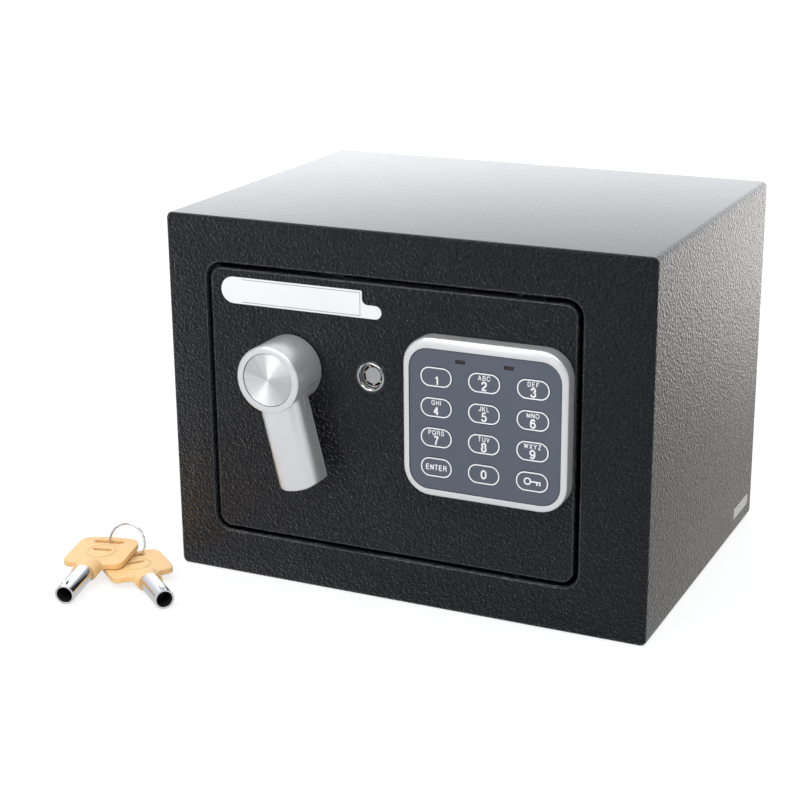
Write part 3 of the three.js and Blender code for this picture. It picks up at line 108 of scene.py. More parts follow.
class Graph:
    """A node tree being filled in."""

    NOISE_ENDS = (0.3, 0.7)  # where most of a noise lies

    def __init__(self, tree: Tree) -> None:
        """Start on a shader or geometry node tree."""
        self.tree = tree

    @classmethod
    def fresh(cls, owner: Any) -> "Graph":
        """Empty the nodes of a material or a world.

        Args:
            owner: The material or the world.

        Returns:
            The graph to fill in.
        """
        owner.use_nodes = True
        owner.node_tree.nodes.clear()
        return cls(owner.node_tree)

    def node(self, kind: str, inputs: Optional[dict[Any, Any]] = None, **settings: Any) -> Node:
        """Add a node, set its options and fill in or link its inputs.

        Args:
            kind: The node's type name.
            inputs: Input name or index to a constant or to another node's output socket.
            **settings: Attributes of the node itself.

        Returns:
            The new node.
        """
        made = self.tree.nodes.new(kind)
        for key, value in settings.items():
            setattr(made, key, value)
        for key, value in (inputs or {}).items():
            if isinstance(value, Socket):
                self.tree.links.new(value, made.inputs[key])
            else:
                made.inputs[key].default_value = value
        return made

    def link(self, source: Socket, target: Socket) -> None:
        """Join an output socket to an input socket."""
        self.tree.links.new(source, target)

    def math(self, operation: str, *values: Any, clamp: bool = False) -> Socket:
        """Add a Math node on constants or sockets, held to 0 to 1 by clamp, and return its output."""
        made = self.node("ShaderNodeMath", dict(enumerate(values)), operation=operation, use_clamp=clamp)
        return made.outputs[0]

    def vector(self, operation: str, *values: Any) -> Socket:
        """Add a Vector Math node, and return its vector, or its value for lengths and products."""
        made = self.node("ShaderNodeVectorMath", dict(enumerate(values)), operation=operation)
        return made.outputs["Value" if operation in ("DOT_PRODUCT", "LENGTH") else "Vector"]

    def noise(self, coords: Socket, scale: float, detail: float = 2.0) -> Socket:
        """Add a noise of so many features to the metre and octaves of detail, and return its value."""
        made = self.node("ShaderNodeTexNoise", {"Vector": coords, "Scale": scale, "Detail": detail})
        return made.outputs[0]

    def spread(self, value: Socket, low: float, high: float) -> Socket:
        """Stretch the middle of a noise over a range and return the result."""
        return self.fade(value, self.NOISE_ENDS, low, high, "LINEAR")

    def fade(
        self, value: Any, ends: Sequence[float], first: float, last: float, kind: str = "SMOOTHSTEP"
    ) -> Socket:
        """Go from the first result to the last as the value goes from one end to the other."""
        inputs = {"Value": value, "From Min": ends[0], "From Max": ends[1], "To Min": first, "To Max": last}
        return self.node("ShaderNodeMapRange", inputs, interpolation_type=kind).outputs[0]

    def either(self, share: Any, first: Node, second: Node) -> Node:
        """Mix two shaders by the share of the second one, and return the mixing node."""
        return self.node("ShaderNodeMixShader", {0: share, 1: first.outputs[0], 2: second.outputs[0]})

    def put_out(self, kind: str, last: Node) -> None:
        """Add the output node and join the last node to it."""
        self.link(last.outputs[0], self.node(kind).inputs[0])


class Effects:
    """Shader node groups shared by the finishes. They put out values, masks and normals only.

    The scales of the noises count features to the metre.
    """

    VECTORS = ("Vector", "Normal")
    BEND_SCALE = 430.0
    BEND = 1.4 * MM
    WRINKLE_SCALE = 820.0
    CELL_SCALE = 720.0
    # Scale of the flecks of painted glint.
    PAINTED_GLINT_SCALE = 2300.0
    CLOUD_SCALE = 22.0
    SMEAR_SCALE = 90.0
    SMEAR_STRETCH = (1.0, 1.0, 3.5)
    GRAIN_SCALE = 2600.0
    SPOT_SCALE = 1400.0
    EDGE_GAIN = 3.0

    made: dict[str, Tree] = {}

    @classmethod
    def put(
        cls, graph: Graph, fill: Callable[[Graph, Any, Any], None], given: dict[str, Any], *outputs: str
    ) -> Node:
        """Add an effect to a material as a node group, filling its tree in the first time.

        Args:
            graph: The material's graph.
            fill: The effect, a method below.
            given: Name and value of its one input.
            *outputs: The names of its outputs.

        Returns:
            The group's node.
        """
        name = fill.__name__
        if name not in cls.made:
            tree = cls.made[name] = bpy.data.node_groups.new(name, "ShaderNodeTree")
            for way, labels in (("INPUT", given), ("OUTPUT", outputs)):
                for label in labels:
                    kind = "NodeSocketVector" if label in cls.VECTORS else "NodeSocketFloat"
                    tree.interface.new_socket(label, in_out=way, socket_type=kind)
            inside = Graph(tree)
            fill(inside, inside.node("NodeGroupInput").outputs[0], inside.node("NodeGroupOutput").inputs)
        return graph.node("ShaderNodeGroup", given, node_tree=cls.made[name])

    @classmethod
    def hammered(cls, graph: Graph, at: Socket, out: Any) -> None:
        """Fill in wrinkled paint: its height, and a mask of light flecks that are painted glints.

        Args:
            graph: The group's graph.
            at: Object coordinates.
            out: The inputs of the group's output node.
        """
        bent = graph.node("ShaderNodeTexNoise", {"Vector": at, "Scale": cls.BEND_SCALE, "Detail": 1.0})
        shift = graph.vector("SCALE", bent.outputs["Color"])
        shift.node.inputs["Scale"].default_value = cls.BEND
        moved = graph.vector("ADD", at, shift)
        cells = graph.node(
            "ShaderNodeTexVoronoi",
            {"Vector": moved, "Scale": cls.CELL_SCALE, "Smoothness": 0.5},
            feature="SMOOTH_F1",
        )
        coarse = graph.spread(graph.noise(moved, cls.WRINKLE_SCALE, 1.5), 0.0, 0.7)
        graph.link(graph.math("ADD", coarse, cells.outputs["Distance"]), out["Height"])
        graph.link(graph.spread(graph.noise(at, cls.PAINTED_GLINT_SCALE, 0.0), -1.2, 1.3), out["PaintedGlints"])

    @classmethod
    def handled(cls, graph: Graph, at: Socket, out: Any) -> None:
        """Fill in light use: clouds of tone, smears of roughness and a fine grain.

        Args:
            graph: The group's graph.
            at: Object coordinates.
            out: The inputs of the group's output node.
        """
        graph.link(graph.spread(graph.noise(at, cls.CLOUD_SCALE, 3.0), 0.0, 1.0), out["Cloud"])
        stretched = graph.vector("MULTIPLY", at, cls.SMEAR_STRETCH)
        graph.link(graph.spread(graph.noise(stretched, cls.SMEAR_SCALE, 4.0), 0.0, 1.0), out["Smear"])
        graph.link(graph.noise(at, cls.GRAIN_SCALE), out["Grain"])

    @classmethod
    def edges(cls, graph: Graph, radius: Socket, out: Any) -> None:
        """Fill in softened edges: a rounded normal, and a mask of the edges.

        Args:
            graph: The group's graph.
            radius: How round they are.
            out: The inputs of the group's output node.
        """
        soft = graph.node("ShaderNodeBevel", {"Radius": radius}, samples=4)
        flat = graph.node("ShaderNodeNewGeometry")
        turn = graph.vector("DOT_PRODUCT", soft.outputs[0], flat.outputs["Normal"])
        edge = graph.math("MULTIPLY", graph.math("SUBTRACT", 1.0, turn), cls.EDGE_GAIN, clamp=True)
        graph.link(soft.outputs[0], out["Normal"])
        graph.link(edge, out["Edge"])

    @classmethod
    def dust(cls, graph: Graph, at: Socket, out: Any) -> None:
        """Fill in a mask of dust on faces that look up.

        Args:
            graph: The group's graph.
            at: Object coordinates.
            out: The inputs of the group's output node.
        """
        faced = graph.node("ShaderNodeNewGeometry")
        up = graph.vector("DOT_PRODUCT", faced.outputs["Normal"], (0.0, 0.0, 1.0))
        spots = graph.spread(graph.noise(at, cls.SPOT_SCALE, 1.0), -1.0, 0.8)
        graph.link(graph.math("MULTIPLY", up, spots, clamp=True), out["Dust"])


@dataclass(frozen=True)
class Finish:
    """A plain moulded or plated finish, and the base of the special ones.

    Attributes:
        slot: The record's slot it belongs to.
        color: Its base colour.
        roughness: How rough it is.
        metallic: 1 for bare metal.
        edge: Radius of the softened edges.
        grain: Height of the fine grain.
        cloud: How much the tone varies.
        smear: How much the roughness varies.
        edge_light: How much lighter the edges are painted, a painted highlight; hammered paint shows more of
            its mirror there instead.
        through: Share of light scattered below the surface.
        label: Tells apart two finishes of one slot.
    """

    slot: Slot
    color: Color
    roughness: float = 0.5
    metallic: float = 0.0
    edge: float = 0.25 * MM
    grain: float = 0.01 * MM
    cloud: float = 0.08
    smear: float = 0.08
    edge_light: float = 0.08
    through: float = 0.0
    label: str = ""

    def material(self) -> bpy.types.Material:
        """Return the finish's material, building it the first time.

        Returns:
            The material.
        """
        name = self.slot.value + self.label
        if name in bpy.data.materials and bpy.data.materials[name].get("finish"):
            return bpy.data.materials[name]
        made = bpy.data.materials.new(name)
        made["finish"] = True
        graph = Graph.fresh(made)
        shader = graph.node("ShaderNodeBsdfPrincipled", {"Metallic": self.metallic})
        coords = graph.node("ShaderNodeTexCoord").outputs["Object"]
        graph.put_out("ShaderNodeOutputMaterial", self.surface(graph, shader, coords))
        return made

    def tint(self, graph: Graph, amount: Socket, low: float, high: float) -> Socket:
        """Return the finish's colour times low to high, as amount goes from 0 to 1."""
        dark, light = ((*(min(1.0, c * factor) for c in self.color), 1.0) for factor in (low, high))
        return graph.node("ShaderNodeMix", {0: amount, 6: dark, 7: light}, data_type="RGBA").outputs[2]

    def base(self, graph: Graph, shader: Any, coords: Socket) -> tuple[Any, Any]:
        """Add the shared effects and the roughness.

        Args:
            graph: The material's graph.
            shader: The Principled shader.
            coords: Object coordinates.

        Returns:
            The nodes of the handled and the edges group.
        """
        handled = Effects.put(graph, Effects.handled, {"Vector": coords}, "Cloud", "Smear", "Grain")
        edges = Effects.put(graph, Effects.edges, {"Radius": self.edge}, "Normal", "Edge")
        smoothest = self.roughness - self.smear / 2
        rough = graph.math("MULTIPLY_ADD", handled.outputs["Smear"], self.smear, smoothest)
        graph.link(rough, shader.inputs["Roughness"])
        return handled, edges

    @staticmethod
    def emboss(graph: Graph, shader: Any, height: Any, distance: Any, normal: Any = None) -> Any:
        """Add the relief.

        Args:
            graph: The material's graph.
            shader: The Principled shader.
            height: The relief's height, from 0 to 1.
            distance: What 1 stands for.
            normal: The normal it starts from, or None for the face's own.

        Returns:
            The normal's output.
        """
        inputs = {"Height": height, "Distance": distance, **({"Normal": normal} if normal else {})}
        bump = graph.node("ShaderNodeBump", inputs).outputs[0]
        graph.link(bump, shader.inputs["Normal"])
        return bump

    def surface(self, graph: Graph, shader: Any, coords: Socket) -> Node:
        """Fill in the shader.

        Args:
            graph: The material's graph.
            shader: The Principled shader.
            coords: Object coordinates.

        Returns:
            The node that puts out the finished shader.
        """
        handled, edges = self.base(graph, shader, coords)
        # The edge mask lightens the colour: a painted highlight along the edges, over the random cloud of tone.
        tone = graph.math("MULTIPLY_ADD", edges.outputs["Edge"], self.edge_light * 4, handled.outputs["Cloud"])
        graph.link(self.tint(graph, tone, 1 - self.cloud, 1 + self.cloud), shader.inputs["Base Color"])
        self.emboss(graph, shader, handled.outputs["Grain"], self.grain, edges.outputs["Normal"])
        if self.through:
            shader.inputs["Subsurface Weight"].default_value = self.through
            shader.inputs["Subsurface Radius"].default_value = SCATTER_COLOR
            shader.inputs["Subsurface Scale"].default_value = SCATTER
        return shader


@dataclass(frozen=True)
class HammeredPaint(Finish):
    """Thick paint that dried in wrinkles, with painted glints as light flecks in its colour.

    Attributes:
        depth: Height of the wrinkles.
        levelled: Share by which they are lower on faces that look up, where the wet paint ran level.
        painted_glint_gain: How far the flecks of painted glint lighten the paint.
        dusty: How far the dust lightens it.
        lightest: The colour's factor where it is lightest, at the painted glints and the dust.
        gloss: Strength of its shine seen straight on.
        glance: Share of light it mirrors when seen from its very edge.
        falloff: How quickly that share falls as it turns to the viewer.
        blur: How much rougher that mirror is.
        mirror: The mirror's grey.
    """

    depth: float = 0.4 * MM
    levelled: float = 0.85
    painted_glint_gain: float = 0.2
    dusty: float = 0.25
    lightest: float = 4.0
    gloss: float = 0.15
    glance: float = 0.9
    falloff: float = 3.0
    blur: float = 0.06
    mirror: float = 0.97

    def surface(self, graph: Graph, shader: Any, coords: Socket) -> Node:
        """Fill in the shader.

        Args:
            graph: The material's graph.
            shader: The Principled shader.
            coords: Object coordinates.

        Returns:
            The node that puts out the finished shader.
        """
        _, edges = self.base(graph, shader, coords)
        paint = Effects.put(graph, Effects.hammered, {"Vector": coords}, "Height", "PaintedGlints")
        dust = Effects.put(graph, Effects.dust, {"Vector": coords}, "Dust")
        # Painted glints: light flecks at random in the colour; the dust on faces that look up adds to them.
        painted_glints = graph.math("MULTIPLY", paint.outputs["PaintedGlints"], self.painted_glint_gain, clamp=True)
        tone = graph.math("ADD", painted_glints, graph.math("MULTIPLY", dust.outputs["Dust"], self.dusty))
        graph.link(self.tint(graph, tone, 1.0, self.lightest), shader.inputs["Base Color"])
        shader.inputs["Specular IOR Level"].default_value = self.gloss
        faced = graph.node("ShaderNodeSeparateXYZ", {0: graph.node("ShaderNodeNewGeometry").outputs["Normal"]})
        upward = graph.math("MAXIMUM", faced.outputs["Z"], 0.0)
        height = graph.math("MULTIPLY_ADD", upward, -self.levelled * self.depth, self.depth)
        normal = self.emboss(graph, shader, paint.outputs["Height"], height, edges.outputs["Normal"])
        facing = graph.node("ShaderNodeLayerWeight", {"Blend": 0.5, "Normal": normal}).outputs["Facing"]
        turned_away = graph.math("MULTIPLY", graph.math("POWER", facing, self.falloff), self.glance)
        share = graph.math("MULTIPLY_ADD", edges.outputs["Edge"], self.edge_light, turned_away, clamp=True)
        mirror = graph.node(
            "ShaderNodeBsdfAnisotropic",
            {"Color": (*[self.mirror] * 3, 1), "Roughness": self.roughness + self.blur, "Normal": normal},
        )
        return graph.either(share, shader, mirror)


@dataclass(frozen=True)
class SpunMetal(Finish):
    """Metal faced on a lathe: rings round a centre, light drawn out across them, and a painted highlight in its
    colour.

    Attributes:
        centre: A point on the axis, which runs along Y.
        stretch: How strongly the shine is drawn out.
        rings: Rings to the metre.
        ring_share: How far the rings change the tone.
        painted_highlight_turn: Angle of the painted highlight, a light band painted across the face, in radians
            from +X.
        painted_highlight_share: How far that painted highlight changes the tone.
        painted_highlight_streaks: How the painted highlight is broken up round the centre, as the scale of its
            noise.
        painted_shade_factor: The colour's factor square to that band, a painted shade.
        bright: The colour's factor in the band, the painted highlight.
    """

    centre: Place = (0.0, 0.0, 0.0)
    stretch: float = 0.85
    rings: float = 9000.0
    ring_share: float = 0.12
    painted_highlight_turn: float = math.radians(65)
    painted_highlight_share: float = 0.94
    painted_highlight_streaks: float = 2.4
    painted_shade_factor: float = 0.7
    bright: float = 1.08

    def surface(self, graph: Graph, shader: Any, coords: Socket) -> Node:
        """Fill in the shader.

        Args:
            graph: The material's graph.
            shader: The Principled shader.
            coords: Object coordinates.

        Returns:
            The node that puts out the finished shader.
        """
        _, edges = self.base(graph, shader, coords)
        away = graph.vector("MULTIPLY", graph.vector("SUBTRACT", coords, self.centre), (1.0, 0.0, 1.0))
        outward = graph.math("MULTIPLY", graph.vector("LENGTH", away), self.rings)
        groove = graph.noise(graph.node("ShaderNodeCombineXYZ", {"X": outward}).outputs[0], 1.0, 2.0)
        tangent = graph.node(
            "ShaderNodeVectorTransform", {"Vector": away},
            vector_type="VECTOR", convert_from="OBJECT", convert_to="WORLD",
        )
        graph.link(tangent.outputs[0], shader.inputs["Tangent"])
        shader.inputs["Anisotropic"].default_value = self.stretch
        # Painted highlight: a light band across the face and darker colour square to it, broken up by noise
        # round the centre.
        parts = graph.node("ShaderNodeSeparateXYZ", {0: away})
        turn = graph.math("ARCTAN2", parts.outputs["Z"], parts.outputs["X"])
        beam = graph.math("COSINE", graph.math("MULTIPLY_ADD", turn, 2.0, -2 * self.painted_highlight_turn))
        around = graph.node(
            "ShaderNodeCombineXYZ", {"X": graph.math("COSINE", turn), "Y": graph.math("SINE", turn), "Z": 0.0},
        )
        painted_highlight_streaks = graph.spread(graph.noise(around.outputs[0], self.painted_highlight_streaks, 2.0), -0.3, 0.5)
        painted_sheen = graph.math("ADD", graph.math("MULTIPLY_ADD", beam, 0.5, 0.5), painted_highlight_streaks, clamp=True)
        band = graph.math("MULTIPLY", painted_sheen, self.painted_highlight_share)
        fine = graph.math("MULTIPLY_ADD", groove, self.ring_share, band)
        # The rings are the metal's own grooves; the band over them is painted highlight and shade.
        graph.link(self.tint(graph, fine, self.painted_shade_factor, self.bright), shader.inputs["Base Color"])
        self.emboss(graph, shader, groove, self.grain, edges.outputs["Normal"])
        return shader


@dataclass(frozen=True)
class Winding(Finish):
    """Wire wound round a bobbin that stands along Z.

    Attributes:
        pitch: Distance from turn to turn.
        shade: The colour's factors: painted shade between two turns and a painted highlight on top of one.
    """

    pitch: float = 0.35 * MM
    shade: tuple[float, float] = (0.4, 1.3)

    def surface(self, graph: Graph, shader: Any, coords: Socket) -> Node:
        """Fill in the shader.

        Args:
            graph: The material's graph.
            shader: The Principled shader.
            coords: Object coordinates.

        Returns:
            The node that puts out the finished shader.
        """
        radians_per_scale = 20  # of Blender's wave texture, to the metre
        wave = graph.node(
            "ShaderNodeTexWave",
            {"Vector": coords, "Scale": math.tau / self.pitch / radians_per_scale, "Distortion": 0.4},
            bands_direction="Z",
        ).outputs["Fac"]
        # Painted shade between the turns and painted highlight on their tops, from the wave.
        graph.link(self.tint(graph, wave, *self.shade), shader.inputs["Base Color"])
        shader.inputs["Roughness"].default_value = self.roughness
        self.emboss(graph, shader, wave, self.pitch / 3)
        return shader


PAINT = HammeredPaint(Slot.PAINT, (0.0072, 0.0079, 0.0102), 0.24, edge=0.6 * MM, smear=0.06, edge_light=0.4)
ZINC = Finish(Slot.ZINC, (0.56, 0.57, 0.58), 0.34, 1.0, cloud=0.12, smear=0.16)
SILVER = Finish(Slot.SILVER, (0.85, 0.855, 0.865), 0.32, 0.75, edge=0.25 * MM, cloud=0.03, grain=0.012 * MM)
SPUN = SpunMetal(Slot.SPUN, (0.94, 0.945, 0.95), 0.32, 0.85, edge=0.15 * MM, grain=0.004 * MM)
CHROME = Finish(Slot.CHROME, (0.78, 0.79, 0.8), 0.12, 1.0, cloud=0.03, smear=0.06, grain=0.002 * MM)
RIM = Finish(Slot.CHROME, (0.6, 0.61, 0.63), 0.14, 1.0, cloud=0.1, smear=0.08, grain=0.004 * MM, label="_rim")
SATIN = Finish(
    Slot.CHROME, (0.56, 0.565, 0.58), 0.4, 1.0, cloud=0.14, smear=0.2, grain=0.06 * MM, label="_satin",
)
PIN = Finish(Slot.BRASS, (0.95, 0.76, 0.46), 0.3, 0.55, cloud=0.2, label="_pin")
BRASS = Finish(Slot.BRASS, (0.72, 0.5, 0.2), 0.25, 1.0, cloud=0.1)
SLATE = Finish(Slot.SLATE, (0.085, 0.099, 0.131), 0.5, edge=0.12 * MM, cloud=0.03, edge_light=0.05)
BLACK = Finish(Slot.BLACK, (0.02, 0.02, 0.022), 0.5, grain=0.03 * MM)
SMOKED = Finish(Slot.SMOKED, (0.035, 0.022, 0.022), 0.3, edge=0.1 * MM)
BOARD = Finish(Slot.BOARD, (0.015, 0.13, 0.05), 0.4)
RUBBER = Finish(Slot.RUBBER, (0.22, 0.22, 0.24), 0.7)
COPPER = Winding(Slot.COPPER, (0.6, 0.22, 0.08), 0.35, 0.6)
# Dark lining inside the key tubes: painted shade.
BORE_SHADE = Finish(Slot.CHROME, (0.018, 0.016, 0.014), 0.6, cloud=0.4, grain=0.05 * MM, label="_bore")
RED = Finish(Slot.RED, (0.45, 0.015, 0.012), 0.25)
CELL = Finish(Slot.CELL, (0.04, 0.12, 0.28), 0.3, cloud=0.04)
FELT = Finish(Slot.FELT, (0.05, 0.05, 0.055), 0.95, grain=0.5 * MM, cloud=0.3)
CREAM = Finish(Slot.CREAM, (0.93, 0.6, 0.27), 0.42, cloud=0.05, through=0.35, edge=0.5 * MM)
WHITE_INK = Finish(Slot.SLATE, (0.86, 0.87, 0.88), 0.5, edge=0.02 * MM, cloud=0.03, label="_ink")
LABEL = Finish(Slot.PAINT, (0.85, 0.855, 0.86), 0.4, edge=0.05 * MM, cloud=0.02, label="_label")
SIDE_LABEL = Finish(Slot.PAINT, (0.62, 0.62, 0.6), 0.35, edge=0.05 * MM, cloud=0.12, label="_side_label")
SIDE_STRIP = Finish(Slot.PAINT, (0.15, 0.148, 0.142), 0.28, edge=0.05 * MM, cloud=0.2, label="_side_strip")
LABEL_LINE = Finish(Slot.PAINT, (0.3, 0.3, 0.31), 0.5, edge=0.02 * MM, label="_label_line")

FRONTWARD: Place = (math.pi / 2, 0.0, 0.0)
RIGHTWARD: Place = (math.pi / 2, 0.0, math.pi / 2)


def arc(x: float, z: float, radius: float, start: float, end: float, steps: int) -> list[tuple[float, float]]:
    """Return points along an arc, from one angle to another in degrees."""
    turns = [math.radians(start + (end - start) * i / steps) for i in range(steps + 1)]
    return [(x + radius * math.cos(turn), z + radius * math.sin(turn)) for turn in turns]


Stroke = tuple[bool, bool, Profile]


def straight(*points: tuple[float, float]) -> Stroke:
    """Return a stroke with corners, in a letter one unit high."""
    return (False, False, points)


def bowed(*points: tuple[float, float]) -> Stroke:
    """Return a stroke that runs smoothly through its points."""
    return (False, True, points)


def loop(*points: tuple[float, float]) -> Stroke:
    """Return a smooth stroke that closes on itself."""
    return (True, True, points)


OVAL = loop(
    (0.28, 0), (0.05, 0.17), (0, 0.5), (0.05, 0.83), (0.28, 1), (0.51, 0.83), (0.56, 0.5), (0.51, 0.17),
)
ROUND = loop(
    (0.36, 0), (0.1, 0.13), (0, 0.5), (0.1, 0.87), (0.36, 1), (0.62, 0.87), (0.72, 0.5), (0.62, 0.13),
)
BOW = bowed(
    (0.68, 0.7), (0.57, 0.92), (0.35, 1), (0.1, 0.88), (0, 0.5),
    (0.1, 0.12), (0.35, 0), (0.58, 0.09), (0.69, 0.33),
)
STEM = straight((0.04, 0), (0.04, 1))
SIX = (
    (0.52, 0.78), (0.43, 0.95), (0.29, 1), (0.1, 0.87), (0.01, 0.48), (0.06, 0.14), (0.28, 0), (0.5, 0.1),
    (0.56, 0.32), (0.47, 0.54), (0.28, 0.62), (0.1, 0.52), (0.03, 0.36),
)
STROKES: dict[str, Sequence[Stroke]] = {
    "0": [OVAL],
    "1": [straight((0.08, 0.76), (0.24, 0.81), (0.34, 0.98), (0.34, -0.05))],
    "2": [
        bowed(
            (0.02, 0.7), (0.09, 0.93), (0.28, 1), (0.49, 0.92),
            (0.54, 0.72), (0.44, 0.5), (0.2, 0.28), (0.03, 0.02),
        ),
        straight((-0.02, 0.01), (0.57, 0.01)),
    ],
    "3": [
        bowed((0.03, 0.75), (0.1, 0.94), (0.28, 1), (0.47, 0.93), (0.52, 0.75), (0.43, 0.59), (0.22, 0.54)),
        bowed((0.22, 0.54), (0.46, 0.48), (0.55, 0.28), (0.48, 0.07), (0.27, 0), (0.08, 0.06), (0.01, 0.25)),
    ],
    "4": [straight((0.41, -0.05), (0.41, 0.97), (0.02, 0.27), (0.58, 0.27))],
    "5": [
        straight((0.52, 1), (0.13, 1), (0.06, 0.48)),
        bowed(
            (0.07, 0.52), (0.28, 0.63), (0.5, 0.53), (0.56, 0.32),
            (0.47, 0.08), (0.26, 0), (0.08, 0.06), (0.01, 0.23),
        ),
    ],
    "6": [bowed(*SIX)],
    "7": [straight((0, 1), (0.55, 1)), bowed((0.54, 0.99), (0.36, 0.65), (0.25, 0.32), (0.2, -0.05))],
    "8": [
        loop(
            (0.28, 0.53), (0.1, 0.61), (0.05, 0.77), (0.11, 0.94),
            (0.28, 1), (0.45, 0.94), (0.51, 0.77), (0.46, 0.61),
        ),
        loop(
            (0.28, 0.53), (0.08, 0.45), (0.01, 0.26), (0.08, 0.06),
            (0.28, 0), (0.48, 0.06), (0.55, 0.26), (0.48, 0.45),
        ),
    ],
    "9": [bowed(*((0.57 - x, 1 - z) for x, z in SIX))],
    "A": [straight((0, -0.03), (0.33, 1), (0.66, -0.03)), straight((0.12, 0.32), (0.54, 0.32))],
    "B": [
        STEM,
        straight((0.04, 1), (0.4, 1), (0.56, 0.88), (0.56, 0.66), (0.4, 0.54), (0.04, 0.54)),
        straight((0.4, 0.54), (0.61, 0.42), (0.61, 0.13), (0.42, 0), (0.04, 0)),
    ],
    "C": [BOW],
    "D": [STEM, straight((0.04, 1), (0.34, 1), (0.56, 0.84), (0.64, 0.5), (0.56, 0.16), (0.34, 0), (0.04, 0))],
    "E": [
        STEM,
        straight((0.04, 1), (0.56, 1)),
        straight((0.04, 0.53), (0.52, 0.53)),
        straight((0.04, 0), (0.58, 0)),
    ],
    "F": [STEM, straight((0.04, 1), (0.56, 1)), straight((0.04, 0.53), (0.5, 0.53))],
    "G": [BOW, straight((0.4, 0.46), (0.69, 0.46), (0.69, 0))],
    "H": [STEM, straight((0.04, 0.53), (0.6, 0.53)), straight((0.6, 0), (0.6, 1))],
    "I": [STEM],
    "J": [bowed((0.42, 1.03), (0.42, 0.3), (0.37, 0.06), (0.21, 0), (0.05, 0.07), (0, 0.3))],
    "K": [STEM, straight((0.6, 1.03), (0.06, 0.4)), straight((0.24, 0.6), (0.62, -0.03))],
    "L": [straight((0.04, 1), (0.04, 0), (0.52, 0))],
    "M": [straight((0.04, -0.03), (0.04, 1), (0.38, 0.05), (0.72, 1), (0.72, -0.03))],
    "N": [straight((0.04, -0.03), (0.04, 1), (0.6, 0), (0.6, 1.03))],
    "O": [ROUND],
    "P": [STEM, straight((0.04, 1), (0.4, 1), (0.59, 0.87), (0.59, 0.62), (0.4, 0.49), (0.04, 0.49))],
    "Q": [ROUND, straight((0.44, 0.26), (0.72, -0.05))],
    "R": [
        STEM,
        straight((0.04, 1), (0.4, 1), (0.59, 0.87), (0.59, 0.62), (0.4, 0.51), (0.04, 0.51)),
        straight((0.38, 0.51), (0.57, 0.4), (0.59, 0.1), (0.64, -0.03)),
    ],
    "S": [
        bowed(
            (0.56, 0.73), (0.48, 0.93), (0.28, 1), (0.09, 0.93), (0.04, 0.75), (0.14, 0.59), (0.31, 0.52),
            (0.5, 0.43), (0.59, 0.25), (0.5, 0.07), (0.3, 0), (0.08, 0.08), (0, 0.3),
        )
    ],
    "T": [straight((0.3, -0.03), (0.3, 1)), straight((0, 1), (0.6, 1))],
    "U": [bowed((0.04, 1.03), (0.04, 0.32), (0.12, 0.07), (0.32, 0), (0.52, 0.07), (0.6, 0.32), (0.6, 1.03))],
    "V": [straight((0, 1.03), (0.31, 0), (0.62, 1.03))],
    "W": [straight((0, 1.03), (0.23, 0), (0.45, 0.97), (0.67, 0), (0.9, 1.03))],
    "X": [straight((0, -0.03), (0.6, 1.03)), straight((0, 1.03), (0.6, -0.03))],
    "Y": [straight((0, 1.03), (0.31, 0.45), (0.62, 1.03)), straight((0.31, 0.45), (0.31, -0.03))],
    "Z": [straight((0.02, 1), (0.57, 1), (0.02, 0), (0.6, 0))],
}


